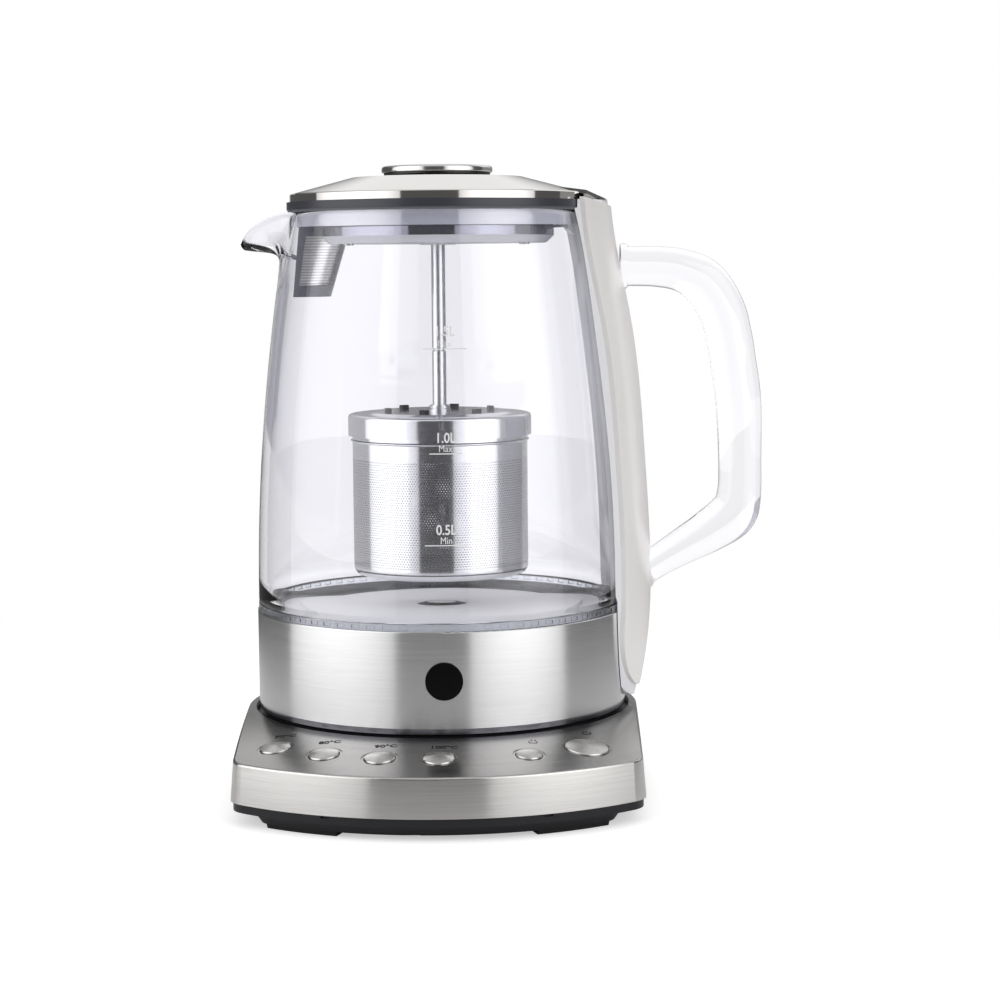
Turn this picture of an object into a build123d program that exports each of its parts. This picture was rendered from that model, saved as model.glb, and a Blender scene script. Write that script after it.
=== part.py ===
from build123d import *
import math
import os

os.makedirs("parts", exist_ok=True)

# Alignments that stand a solid on its location, or hang it below
on_base = (Align.CENTER, Align.CENTER, Align.MIN)
on_top = (Align.CENTER, Align.CENTER, Align.MAX)

# Automatic tea maker: a glass jug with a lift-off lid, a tea basket on a lifting rod, and a
# power base with six push buttons. Millimetres, +Z up. The origin is under the base's feet on
# the jug's axis. The buttons face -Y, the spout points to -X and the handle to +X.

# ---------------------------------------------------------------- driving dimensions

# Power base: D-shaped plan, concentric with the jug at the front and at the rear
collar_radius = 73.6
base_front_radius = 115.5
base_ledge = 6.1
base_rear_radius = collar_radius + base_ledge
base_side_taper = 1.9
base_corner_radius = 12.0
skirt_draft = 4.6
base_wall = 1.5
foot_height = 1.8
foot_width = 8.0
foot_inset = 3.0
foot_sweep = 15.4
front_foot_angle = 27.0
rear_foot_angle = 138.0
tray_height = 6.8
tray_floor = 2.0
tray_inset = 1.0
tray_step_inset = 2.0
tray_step_side_inset = 9.5
tray_step_height = 3.4
tray_step_draft = 35.0
skirt_height = 21.1
crown_radius = 272.0
crown_start_tilt = 5.0
deck_rim_fillet = 1.0
jug_opening_gap = 1.4
jug_opening_radius = collar_radius + jug_opening_gap
seat_floor_drop = 3.1
seat_plate_thickness = 1.8
base_screw_ring = 62.0
cord_notch_radius = 4.4
front_arch_width = 5.8
front_arch_rise = 1.9
front_arch_x = -8.7
clip_window_angle = 20.6
clip_window_width = 3.3
clip_window_height = 1.2

# Push buttons, on one ring of the crowned deck; depths are measured down from the deck
button_ring_inset = 18.2
button_ring_radius = base_front_radius - button_ring_inset
button_travel = 0.8
button_gap = 0.2
button_stand = 0.4
button_dome = 0.9
button_flange = 0.7
bezel_width = 0.9
bezel_depth = 2.6
stem_radius = 2.0
switch_size = 6.0
switch_height = 3.5
board_thickness = 1.6
board_width = 18.0
board_sweep = 88.0

# Jug: steel collar, heating plate and tapered glass body
jug_rest_drop = 0.9
collar_wall = 0.8
trim_height = 2.7
collar_height = 36.6
glass_ledge = 0.5
glass_foot_radius = collar_radius - glass_ledge
glass_draw_in = 14.0
glass_mouth_radius = glass_foot_radius - glass_draw_in
glass_wall = 3.2
glass_height = 150.6
glass_taper_power = 1.9
glass_socket_depth = 15.2
glass_socket_step = 2.4
plate_margin = 16.1
plate_radius = glass_foot_radius - plate_margin
plate_drop = 1.6
sensor_radius = 10.0
top_ring_height = 2.6
rib_count = 72

# Pouring spout
spout_overhang = 17.9
spout_reach = glass_mouth_radius + spout_overhang
spout_drop = 13.0
spout_throat_drop = 19.5
spout_half_width = 17.0

# Glass handle
handle_overhang = 47.4
handle_reach = collar_radius + handle_overhang
handle_top_drop = 22.1
handle_bottom_drop = 121.5
handle_thickness = 16.8
handle_depth = 15.6

# Steel spine behind the handle, on a moulded liner that grips the glass rim
spine_proud = 10.6
spine_round_radius = 31.6
spine_wall = 1.2
spine_half_width = 24.0
liner_half_width = 27.0
spine_tip_rise = 28.3
liner_tip_drop = 4.0

# Lid
lid_ring_proud = 0.4
lid_ring_radius = glass_mouth_radius + lid_ring_proud
lid_ring_height = 3.0
lid_gasket = 1.0
lid_rim_step = 1.3
lid_rim_radius = lid_ring_radius - lid_rim_step
lid_rim_height = 2.8
lid_dome_rise = 7.0
lid_flat_radius = 34.0
lid_flat_rise = 0.3
lid_sheet = 1.0
tongue_overhang = 8.6
tongue_reach = lid_rim_radius + tongue_overhang
tongue_half_width = 18.0
plug_gap = 13.1
plug_radius = glass_mouth_radius - plug_gap
seal_height = 4.8
mouth_clearance = 0.3

# Spout filter that hangs from the lid
filter_top_radius = 12.2
filter_bottom_radius = 11.2
filter_top_drop = 5.0
filter_height = 28.0
filter_lean = 8.0
filter_wall = 1.6
filter_border = 2.2
filter_rib_half = 2.5

# Infuser: knob, rod, basket cover and cup
knob_radius = 21.9
knob_base_height = 1.2
knob_height = 2.6
rod_radius = 2.75
rod_clearance = 0.05
rod_travel = 50.0
cup_radius = 34.9
cup_floor_gap = 14.8
cover_lap = 1.6
cover_radius = cup_radius + cover_lap
cover_height = 8.4
cover_drop = 79.5
basket_sheet = 0.8
cup_bottom_fillet = 3.0
hole_radius = 1.3
hole_rows = 6
holes_per_row = 18

# ---------------------------------------------------------------- levels and placing rules

skirt_bottom_z = foot_height + tray_height
deck_z = skirt_bottom_z + skirt_height
jug_rest_z = deck_z - jug_rest_drop
trim_bottom_z = jug_rest_z + 1.3
collar_bottom_z = trim_bottom_z + trim_height
collar_top_z = collar_bottom_z + collar_height
glass_foot_z = collar_top_z + 5.8
rim_z = glass_foot_z + glass_height
glass_seat_z = glass_foot_z - glass_socket_depth
plate_z = collar_top_z - plate_drop
lid_bottom_z = rim_z + lid_gasket
lid_rim_z = lid_bottom_z + lid_ring_height
dome_foot_z = lid_rim_z + lid_rim_height
dome_top_z = dome_foot_z + lid_dome_rise
spine_tip_z = skirt_bottom_z + spine_tip_rise
cover_top_z = rim_z - cover_drop
cup_bottom_z = plate_z + cup_floor_gap

crown_centre_r = jug_opening_radius - crown_radius * math.sin(math.radians(crown_start_tilt))
crown_centre_z = deck_z - crown_radius * math.cos(math.radians(crown_start_tilt))

# name, angle from the front about the jug's axis, cap radius
buttons = [
    ("button_70", -38.5, 5.8),
    ("button_80", -25.4, 5.8),
    ("button_90", -12.4, 5.8),
    ("button_100", 0.4, 5.8),
    ("button_keep_warm", 20.2, 5.0),
    ("button_power", 34.5, 8.2),
]


def crown_z(radius, drop=0.0):
    """Height of the deck's crowned surface, or of one drop millimetres under it."""
    across = radius - crown_centre_r
    return crown_centre_z + math.sqrt((crown_radius - drop) ** 2 - across**2)


def crown_tilt(radius):
    """Slope of the crowned deck in degrees at a distance from the jug's axis."""
    return math.degrees(math.asin((radius - crown_centre_r) / crown_radius))


def button_plane(angle):
    """Plane that touches the deck at a button, with its normal along the button's travel."""
    turn = math.radians(angle)
    tilt = math.radians(crown_tilt(button_ring_radius))
    outward = (math.sin(turn), -math.cos(turn))
    return Plane(
        origin=(
            button_ring_radius * outward[0],
            button_ring_radius * outward[1],
            crown_z(button_ring_radius),
        ),
        x_dir=(math.cos(turn), math.sin(turn), 0),
        z_dir=(math.sin(tilt) * outward[0], math.sin(tilt) * outward[1], math.cos(tilt)),
    )


def dome_radius(half_width, rise):
    """Radius of the arc that rises by rise over half_width and is level at its middle."""
    return (half_width**2 + rise**2) / (2 * rise)


def slope_point(across, depth):
    """Radius and height of a point below the deck, in the tilted frame of a button."""
    tilt = math.radians(crown_tilt(button_ring_radius))
    radius = button_ring_radius + across * math.cos(tilt) - depth * math.sin(tilt)
    height = crown_z(button_ring_radius) - across * math.sin(tilt) - depth * math.cos(tilt)
    return radius, height


def radial_plane(angle):
    """Upright half-plane through the jug's axis, angle degrees round from the front."""
    turn = math.radians(angle - 90)
    return Plane(
        origin=(0, 0, 0),
        x_dir=(math.cos(turn), math.sin(turn), 0),
        z_dir=(math.sin(turn), -math.cos(turn), 0),
    )


def glass_radius(z):
    """Outer radius of the glass body: upright at its foot, drawn in towards its mouth."""
    share = max(0.0, (z - glass_foot_z) / glass_height)
    return glass_foot_radius - (glass_foot_radius - glass_mouth_radius) * share**glass_taper_power


def glass_curve(offset, top=0.0):
    """Points down the glass body's side, moved out by offset, for a spline."""
    steps = 7
    heights = [rim_z + top - (glass_height + top) * i / (steps - 1) for i in range(steps)]
    return [(glass_radius(z) + offset, z) for z in heights]


def base_outline(inset, side_inset=None):
    """D-shaped plan of the base: round front and rear, slightly tapered sides.

    inset draws it in all round, and side_inset, if given, draws in its sides and rear.
    """
    taper = math.radians(base_side_taper)
    front = base_front_radius - inset
    rear = base_rear_radius - (inset if side_inset is None else side_inset)
    tangent = (rear * math.cos(taper), -rear * math.sin(taper))
    corner_x = tangent[0] - (front + tangent[1]) * math.tan(taper)
    with BuildSketch() as outline:
        with BuildLine():
            Polyline(
                (-tangent[0], tangent[1]),
                (-corner_x, -front),
                (corner_x, -front),
                tangent,
                close=True,
            )
        make_face()
        Circle(front, mode=Mode.INTERSECT)
        fillet(outline.vertices().group_by(Axis.Y)[0], base_corner_radius - inset)
        Circle(rear)
    return outline.sketch


def deck_block(inset):
    """Solid block under the crowned deck, drawn in all round and lowered by inset."""
    outline = base_outline(inset)
    with BuildPart() as block:
        with BuildSketch(Plane.XY.offset(skirt_bottom_z)):
            add(outline)
        extrude(amount=skirt_height + 1, taper=skirt_draft)
        with BuildSketch(Plane.XZ):
            with BuildLine():
                far = base_front_radius + 5
                Polyline(
                    (far, crown_z(far, inset)),
                    (far, skirt_bottom_z),
                    (0, skirt_bottom_z),
                    (0, crown_z(jug_opening_radius, inset)),
                    (jug_opening_radius, crown_z(jug_opening_radius, inset)),
                )
                ThreePointArc(
                    (jug_opening_radius, crown_z(jug_opening_radius, inset)),
                    (button_ring_radius, crown_z(button_ring_radius, inset)),
                    (far, crown_z(far, inset)),
                )
            make_face()
        revolve(axis=Axis.Z, mode=Mode.INTERSECT)
    return block.part


# ---------------------------------------------------------------- power base

# Steel top: deck and skirt in one drawn shell, open below, with the jug's round opening
outer_block = deck_block(0)
inner_block = deck_block(base_wall)
with BuildPart() as base_top_shell:
    add(outer_block)
    fillet(base_top_shell.faces().sort_by(Axis.Z)[-2:].edges().group_by(Axis.Z)[0], deck_rim_fillet)
    add(inner_block, mode=Mode.SUBTRACT)
    with Locations((0, 0, deck_z)):
        Cylinder(jug_opening_radius, 4 * base_wall, mode=Mode.SUBTRACT)
    for name, angle, cap_radius in buttons:
        with BuildSketch(button_plane(angle).offset(base_wall)):
            Circle(cap_radius + button_gap + bezel_width)
        extrude(amount=-3 * base_wall, mode=Mode.SUBTRACT)
base_top_shell.part.label = "base_top_shell"
export_step(base_top_shell.part, "parts/base_top_shell.step")

# Moulded tray: stepped dark bottom, a lip inside the skirt, a curved rib that carries the
# switch board, a cord notch at the rear, a small arch in the front edge and two clip windows
tray_lip_height = 2.4
tray_lip_width = 1.8
tray_wall = 2.0
tray_shoulder = 1.6
step_z = foot_height + tray_step_height
tray_floor_z = foot_height + tray_floor
board_top_depth = bezel_depth + button_flange + button_travel + 1.2 + switch_height
board_bottom_depth = board_top_depth + board_thickness
rib_half = 1.2
step_draw_in = tray_step_height * math.tan(math.radians(tray_step_draft))
cavity_inset = tray_wall + step_draw_in / 2
tray_step_outline = base_outline(tray_step_inset, tray_step_side_inset)
tray_outline = base_outline(tray_inset)
tray_cavity_outline = base_outline(tray_step_inset + cavity_inset, tray_step_side_inset + cavity_inset)
lip_outline = base_outline(base_wall + 0.5)
lip_inner_outline = base_outline(base_wall + 0.5 + tray_lip_width)
arch_radius = dome_radius(front_arch_width / 2, front_arch_rise)
with BuildPart() as base_lower_tray:
    with BuildSketch(Plane.XY.offset(step_z)):
        add(tray_step_outline)
    extrude(amount=-tray_step_height, taper=tray_step_draft)
    with BuildSketch(Plane.XY.offset(step_z)):
        add(tray_outline)
    extrude(amount=skirt_bottom_z - step_z)
    with BuildSketch(Plane.XY.offset(skirt_bottom_z)):
        add(lip_outline)
    extrude(amount=tray_lip_height)
    with BuildSketch(Plane.XY.offset(step_z + tray_shoulder)):
        add(lip_inner_outline)
    extrude(amount=tray_height + tray_lip_height, mode=Mode.SUBTRACT)
    with BuildSketch(Plane.XY.offset(tray_floor_z)):
        add(tray_cavity_outline)
    extrude(amount=tray_height + tray_lip_height, mode=Mode.SUBTRACT)
    with BuildSketch(radial_plane(-42)):
        with BuildLine():
            Polyline(
                (slope_point(-rib_half, board_bottom_depth)[0], tray_floor_z - 0.5),
                (slope_point(rib_half, board_bottom_depth)[0], tray_floor_z - 0.5),
                slope_point(rib_half, board_bottom_depth),
                slope_point(-rib_half, board_bottom_depth),
                close=True,
            )
        make_face()
    revolve(axis=Axis.Z, revolution_arc=84)
    with Locations((0, base_rear_radius, foot_height)):
        Cylinder(cord_notch_radius, 50, rotation=(90, 0, 0), mode=Mode.SUBTRACT)
    with Locations((front_arch_x, -base_front_radius, foot_height + front_arch_rise - arch_radius)):
        Cylinder(arch_radius, 10, rotation=(90, 0, 0), mode=Mode.SUBTRACT)
    for side in (-1, 1):
        turn = math.radians(side * clip_window_angle)
        window_x = (base_front_radius - tray_inset) * math.sin(turn)
        window_y = -(base_front_radius - tray_inset) * math.cos(turn)
        with Locations(Location((window_x, window_y, skirt_bottom_z), (0, 0, side * clip_window_angle))):
            Box(clip_window_width, 2.0, 2 * clip_window_height, mode=Mode.SUBTRACT)
    with PolarLocations(base_screw_ring, 4, start_angle=45):
        with Locations((0, 0, foot_height)):
            Cylinder(1.6, 2 * tray_height, mode=Mode.SUBTRACT)
            Cylinder(3.4, 2.0, mode=Mode.SUBTRACT)
base_lower_tray.part.label = "base_lower_tray"
export_step(base_lower_tray.part, "parts/base_lower_tray.step")

# Rubber feet: four arc-shaped pads under the tray, concentric with the jug
foot_outer = {
    front_foot_angle: base_front_radius - tray_step_inset - foot_inset,
    rear_foot_angle: base_rear_radius - tray_step_side_inset - foot_inset,
}
with BuildPart() as base_feet:
    for centre, outer in foot_outer.items():
        for side in (-1, 1):
            with BuildSketch(radial_plane(side * centre - foot_sweep / 2)):
                with BuildLine():
                    Polyline(
                        (outer - foot_width, foot_height),
                        (outer - foot_width + 0.6, 0),
                        (outer - 0.6, 0),
                        (outer, foot_height),
                        close=True,
                    )
                make_face()
            revolve(axis=Axis.Z, revolution_arc=foot_sweep)
base_feet.part.label = "base_feet"
export_step(base_feet.part, "parts/base_feet.step")

# Moulded seat that closes the deck's opening: a dish with a raised ring that the jug stands
# on, a flange under the steel deck and four screw posts down to the tray
seat_floor_z = deck_z - seat_floor_drop
seat_under_z = seat_floor_z - seat_plate_thickness
seat_hub_radius = 20.0
post_radius = 4.0
skirt_lean = skirt_height * math.tan(math.radians(skirt_draft))
seat_flange_radius = base_rear_radius - base_wall - skirt_lean - 0.3
seat_flange_z = crown_z(seat_flange_radius, base_wall) - 0.1
with BuildPart() as jug_seat:
    with BuildSketch(Plane.XZ):
        with BuildLine():
            Polyline(
                (seat_hub_radius, seat_under_z),
                (seat_flange_radius, seat_under_z),
                (seat_flange_radius, seat_flange_z),
                (jug_opening_radius - 0.2, seat_flange_z),
                (jug_opening_radius - 0.2, seat_floor_z),
                (collar_radius - 3.1, seat_floor_z),
                (collar_radius - 3.1, jug_rest_z),
                (collar_radius - 17.0, jug_rest_z),
                (collar_radius - 17.0, seat_floor_z),
                (seat_hub_radius, seat_floor_z),
                close=True,
            )
        make_face()
    revolve(axis=Axis.Z)
    with PolarLocations(base_screw_ring, 4, start_angle=45):
        with Locations((0, 0, tray_floor_z)):
            Cylinder(post_radius, seat_under_z - tray_floor_z, align=on_base)
            Cylinder(1.25, 12, align=on_base, mode=Mode.SUBTRACT)
jug_seat.part.label = "jug_seat"
export_step(jug_seat.part, "parts/jug_seat.step")

# Four screws from below, through the tray into the seat's posts
with BuildPart() as base_screws:
    with PolarLocations(base_screw_ring, 4, start_angle=45):
        with Locations((0, 0, foot_height + 0.2)):
            Cylinder(3.0, 0.8, align=on_base)
            Cylinder(1.2, 10.0, align=on_base)
base_screws.part.label = "base_screws"
export_step(base_screws.part, "parts/base_screws.step")

# Cordless connector in the seat's hub: a round boss with a pin bore and a ring slot
boss_radius = 13.5
boss_top_z = jug_rest_z + 5.0
pin_bore = 3.4
slot_inner = 7.0
slot_outer = 9.6
with BuildPart() as base_connector:
    with Locations((0, 0, tray_floor_z)):
        Cylinder(
            seat_hub_radius - 0.1,
            seat_floor_z - tray_floor_z,
            align=on_base,
        )
        Cylinder(
            boss_radius,
            boss_top_z - tray_floor_z,
            align=on_base,
        )
    fillet(base_connector.edges().group_by(Axis.Z)[-1], 0.8)
    with Locations((0, 0, boss_top_z)):
        Cylinder(pin_bore, 36, mode=Mode.SUBTRACT)
        Cylinder(slot_outer, 24, mode=Mode.SUBTRACT)
    with Locations((0, 0, boss_top_z - 0.4)):
        Cylinder(slot_inner, 12, align=on_top)
        Cylinder(pin_bore, 36, mode=Mode.SUBTRACT)
base_connector.part.label = "base_connector"
export_step(base_connector.part, "parts/base_connector.step")

# Washer round the boss that the jug's connector turns on
washer_thickness = 1.6
with BuildPart() as connector_washer:
    with Locations((0, 0, seat_floor_z)):
        Cylinder(
            seat_hub_radius - 2.6,
            washer_thickness,
            align=on_base,
        )
        Cylinder(boss_radius + 0.1, 4 * washer_thickness, mode=Mode.SUBTRACT)
connector_washer.part.label = "connector_washer"
export_step(connector_washer.part, "parts/connector_washer.step")

# Switch board: an arc that follows the deck's slope, seated on the tray's rib
with BuildPart() as switch_board:
    with BuildSketch(radial_plane(-board_sweep / 2)):
        with BuildLine():
            Polyline(
                slope_point(-board_width / 2, board_top_depth),
                slope_point(board_width / 2, board_top_depth),
                slope_point(board_width / 2, board_bottom_depth),
                slope_point(-board_width / 2, board_bottom_depth),
                close=True,
            )
        make_face()
    revolve(axis=Axis.Z, revolution_arc=board_sweep)
switch_board.part.label = "switch_board"
export_step(switch_board.part, "parts/switch_board.step")

# One push switch under each button
with BuildPart() as button_switches:
    for name, angle, cap_radius in buttons:
        with Locations(button_plane(angle).offset(-board_top_depth)):
            Box(
                switch_size,
                switch_size,
                switch_height,
                align=on_base,
            )
            Cylinder(
                stem_radius - 0.3,
                switch_height + 0.6,
                align=on_base,
            )
button_switches.part.label = "button_switches"
export_step(button_switches.part, "parts/button_switches.step")

# Bezels: dark sleeves that line the deck's button holes, each with a flange below the deck
with BuildPart() as button_bezels:
    for name, angle, cap_radius in buttons:
        sleeve_radius = cap_radius + button_gap + bezel_width - 0.05
        with Locations(button_plane(angle).offset(-bezel_depth)):
            Cylinder(
                sleeve_radius,
                bezel_depth - 0.3,
                align=on_base,
            )
            Cylinder(
                sleeve_radius + 0.9,
                bezel_depth - base_wall - 0.3,
                align=on_base,
            )
            Cylinder(cap_radius + button_gap, 4 * bezel_depth, mode=Mode.SUBTRACT)
button_bezels.part.label = "button_bezels"
export_step(button_bezels.part, "parts/button_bezels.step")

# Push buttons: domed steel caps with a retaining flange and a stem over the switch
for name, angle, cap_radius in buttons:
    with BuildPart() as button:
        with BuildSketch(Plane.XZ):
            with BuildLine():
                flange_top = -bezel_depth - 0.1
                flange_bottom = flange_top - button_flange
                stem_bottom = flange_bottom - 0.4
                Polyline(
                    (0, stem_bottom),
                    (stem_radius, stem_bottom),
                    (stem_radius, flange_bottom),
                    (cap_radius + button_flange, flange_bottom),
                    (cap_radius + button_flange, flange_top),
                    (cap_radius, flange_top),
                    (cap_radius, button_stand - 0.4),
                    (cap_radius - 0.3, button_stand),
                )
                RadiusArc(
                    (cap_radius - 0.3, button_stand),
                    (0, button_stand + button_dome),
                    -dome_radius(cap_radius - 0.3, button_dome),
                )
                Line((0, button_stand + button_dome), (0, stem_bottom))
            make_face()
        revolve(axis=Axis.Z)
    placed = button_plane(angle).location * button.part
    placed.label = name
    export_step(placed, f"parts/{name}.step")

# ---------------------------------------------------------------- jug: steel collar and plate

# Dark moulded bottom: floor, socket over the connector and the wall that carries the glass
cover_wall = 2.6
cover_floor = 2.0
socket_radius = seat_hub_radius - 1.6
socket_top_z = jug_rest_z + 7.4
cover_outer = collar_radius - collar_wall - 0.1
glass_socket_radius = glass_foot_radius - glass_socket_step
with BuildPart() as jug_base_cover:
    with BuildSketch(Plane.XZ):
        with BuildLine():
            Polyline(
                (socket_radius, jug_rest_z),
                (cover_outer - 1.3, jug_rest_z),
                (cover_outer - 1.3, collar_bottom_z),
                (cover_outer, collar_bottom_z),
                (cover_outer, glass_seat_z),
                (cover_outer - cover_wall, glass_seat_z),
                (cover_outer - cover_wall, jug_rest_z + cover_floor),
                (socket_radius + 2.0, jug_rest_z + cover_floor),
                (socket_radius + 2.0, socket_top_z + 2.0),
                (11.5, socket_top_z + 2.0),
                (11.5, socket_top_z),
                (socket_radius, socket_top_z),
                close=True,
            )
        make_face()
    revolve(axis=Axis.Z)
    with PolarLocations(50, 3, start_angle=30):
        with Locations((0, 0, jug_rest_z + cover_floor)):
            Cylinder(3.6, 20, align=on_base)
            Cylinder(1.25, 16, align=on_base, mode=Mode.SUBTRACT)
        with Locations((0, 0, jug_rest_z)):
            Cylinder(1.6, 4 * cover_floor, mode=Mode.SUBTRACT)
            Cylinder(3.2, 2.4, mode=Mode.SUBTRACT)
jug_base_cover.part.label = "jug_base_cover"
export_step(jug_base_cover.part, "parts/jug_base_cover.step")

# Three screws in the jug's bottom
with BuildPart() as jug_base_screws:
    with PolarLocations(50, 3, start_angle=30):
        with Locations((0, 0, jug_rest_z + 0.3)):
            Cylinder(2.8, 0.9, align=on_base)
            Cylinder(1.2, 12.0, align=on_base)
jug_base_screws.part.label = "jug_base_screws"
export_step(jug_base_screws.part, "parts/jug_base_screws.step")

# Grey trim ring under the steel collar
with BuildPart() as collar_trim_ring:
    with Locations((0, 0, trim_bottom_z)):
        Cylinder(collar_radius - 0.2, trim_height, align=on_base)
        Cylinder(cover_outer - 1.25, 4 * trim_height, mode=Mode.SUBTRACT)
    fillet(collar_trim_ring.edges().group_by(Axis.Z)[0].sort_by(SortBy.LENGTH)[-1], 0.6)
collar_trim_ring.part.label = "collar_trim_ring"
export_step(collar_trim_ring.part, "parts/collar_trim_ring.step")

# Brushed steel collar with a softly rolled upper edge
with BuildPart() as collar_shell:
    with Locations((0, 0, collar_bottom_z)):
        Cylinder(collar_radius, collar_height, align=on_base)
    fillet(collar_shell.edges().group_by(Axis.Z)[-1], 0.5)
    Cylinder(collar_radius - collar_wall, 4 * collar_top_z, mode=Mode.SUBTRACT)
collar_shell.part.label = "collar_shell"
export_step(collar_shell.part, "parts/collar_shell.step")

# Ribbed clear ring between the collar and the glass, with notches all round its rim
ring_outer = glass_foot_radius + 0.1
ring_bottom_z = collar_top_z - 3.0
ring_top_z = collar_top_z + top_ring_height
with BuildPart() as collar_top_ring:
    with Locations((0, 0, ring_bottom_z)):
        Cylinder(
            collar_radius - collar_wall - 0.1,
            collar_top_z - ring_bottom_z,
            align=on_base,
        )
    with Locations((0, 0, collar_top_z)):
        Cylinder(ring_outer, top_ring_height, align=on_base)
        Cylinder(glass_socket_radius + 0.05, 4 * ring_top_z, mode=Mode.SUBTRACT)
    with PolarLocations(ring_outer, rib_count):
        with Locations((0, 0, ring_top_z - top_ring_height / 2)):
            Box(1.0, math.pi * ring_outer / rib_count, 1.3, mode=Mode.SUBTRACT)
collar_top_ring.part.label = "collar_top_ring"
export_step(collar_top_ring.part, "parts/collar_top_ring.step")

# Steel floor of the jug: a raised round plate inside a shallow gutter, with a sensor well
pan_radius = glass_socket_radius - glass_wall - 1.6
pan_sheet = 1.2
gutter_depth = 2.4
with BuildPart() as heating_plate:
    with BuildSketch(Plane.XZ):
        with BuildLine():
            Polyline(
                (sensor_radius - 3.2, plate_z),
                (plate_radius, plate_z),
                (plate_radius + 0.8, plate_z - gutter_depth),
                (pan_radius, plate_z - gutter_depth),
                (pan_radius, plate_z - gutter_depth - pan_sheet),
                (plate_radius - 0.3, plate_z - gutter_depth - pan_sheet),
                (plate_radius - 1.1, plate_z - pan_sheet),
                (sensor_radius - 3.2, plate_z - pan_sheet),
                close=True,
            )
        make_face()
    revolve(axis=Axis.Z)
heating_plate.part.label = "heating_plate"
export_step(heating_plate.part, "parts/heating_plate.step")

# Domed sensor cap that fills the well in the middle of the plate
with BuildPart() as sensor_cap:
    with BuildSketch(Plane.XZ):
        with BuildLine():
            Polyline(
                (0, plate_z - 3.0),
                (sensor_radius - 3.3, plate_z - 3.0),
                (sensor_radius - 3.3, plate_z),
                (sensor_radius, plate_z),
                (sensor_radius - 3.0, plate_z + 1.3),
                (0, plate_z + 1.6),
                close=True,
            )
        make_face()
    revolve(axis=Axis.Z)
sensor_cap.part.label = "sensor_cap"
export_step(sensor_cap.part, "parts/sensor_cap.step")

# Silicone seal between the plate's gutter and the glass
with BuildPart() as plate_seal:
    with Locations((0, 0, plate_z - gutter_depth - pan_sheet - 2.4)):
        Cylinder(
            glass_socket_radius - glass_wall - 0.05,
            2.4 + pan_sheet + 1.2,
            align=on_base,
        )
        Cylinder(
            pan_radius + 0.05,
            2.4 + pan_sheet + 1.2,
            align=on_base,
            mode=Mode.SUBTRACT,
        )
    with Locations((0, 0, plate_z - gutter_depth - pan_sheet - 2.4)):
        Cylinder(pan_radius + 0.5, 2.4, align=on_base)
        Cylinder(plate_radius + 4.0, 30, mode=Mode.SUBTRACT)
plate_seal.part.label = "plate_seal"
export_step(plate_seal.part, "parts/plate_seal.step")

# Heating element: an aluminium disc under the plate with the tube cast on its underside
spreader_z = plate_z - pan_sheet - 2.5
tube_ring_radius = 40.0
tube_radius = 3.6
with BuildPart() as heating_element:
    with Locations((0, 0, spreader_z)):
        Cylinder(plate_radius - 6, 2.5, align=on_base)
        Cylinder(sensor_radius - 3.2, 12, mode=Mode.SUBTRACT)
    with BuildSketch(Plane.XZ):
        with Locations((tube_ring_radius, spreader_z - tube_radius + 1.0)):
            Circle(tube_radius)
    revolve(axis=Axis.Z, revolution_arc=320)
heating_element.part.label = "heating_element"
export_step(heating_element.part, "parts/heating_element.step")

# Thermostat control between the element and the jug's connector
control_bottom_z = socket_top_z + 2.0
with BuildPart() as thermostat_control:
    with Locations((0, 0, control_bottom_z)):
        Cylinder(22.0, 12.0, align=on_base)
        Cylinder(
            sensor_radius + 2.0,
            spreader_z - control_bottom_z,
            align=on_base,
        )
thermostat_control.part.label = "thermostat_control"
export_step(thermostat_control.part, "parts/thermostat_control.step")

# Jug half of the cordless connector: centre pin and ring contact hanging in the socket
with BuildPart() as jug_connector:
    with Locations((0, 0, boss_top_z + 0.6)):
        Cylinder(
            socket_radius - 0.1,
            socket_top_z - boss_top_z - 0.6,
            align=on_base,
        )
        Cylinder(11.4, control_bottom_z - boss_top_z - 0.6, align=on_base)
    with Locations((0, 0, seat_floor_z + washer_thickness)):
        Cylinder(
            socket_radius - 1.2,
            socket_top_z - seat_floor_z - washer_thickness,
            align=on_base,
        )
        Cylinder(
            boss_radius + 0.5,
            boss_top_z + 0.6 - seat_floor_z - washer_thickness,
            align=on_base,
            mode=Mode.SUBTRACT,
        )
    with Locations((0, 0, boss_top_z - 9.0)):
        Cylinder(slot_outer - 0.5, 10.0, align=on_base)
        Cylinder(
            slot_inner + 0.5,
            9.6,
            align=on_base,
            mode=Mode.SUBTRACT,
        )
    with Locations((0, 0, boss_top_z - 13.0)):
        Cylinder(pin_bore - 0.4, 14.0, align=on_base)
jug_connector.part.label = "jug_connector"
export_step(jug_connector.part, "parts/jug_connector.step")

# ---------------------------------------------------------------- jug: glass, handle and spine

# Glass body, drawn from an upright foot to a narrow mouth. The spout is a lofted beak whose
# channel opens the wall and whose rolled lip droops below the rim.
outer_curve = glass_curve(0)
inner_curve = glass_curve(-glass_wall)
spout_stations = [
    # distance from the axis, half width, height of the channel's middle and half height below it
    (spout_reach - 30.0, spout_half_width + 5.0, 0.0, spout_throat_drop + 2.5),
    (spout_reach - 15.0, spout_half_width, 0.0, spout_throat_drop + 0.5),
    (spout_reach - 6.5, 0.55 * spout_half_width, -2.0, spout_throat_drop - 5.5),
    (spout_reach, 0.19 * spout_half_width, -7.4, 0.29 * spout_throat_drop),
]


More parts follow.
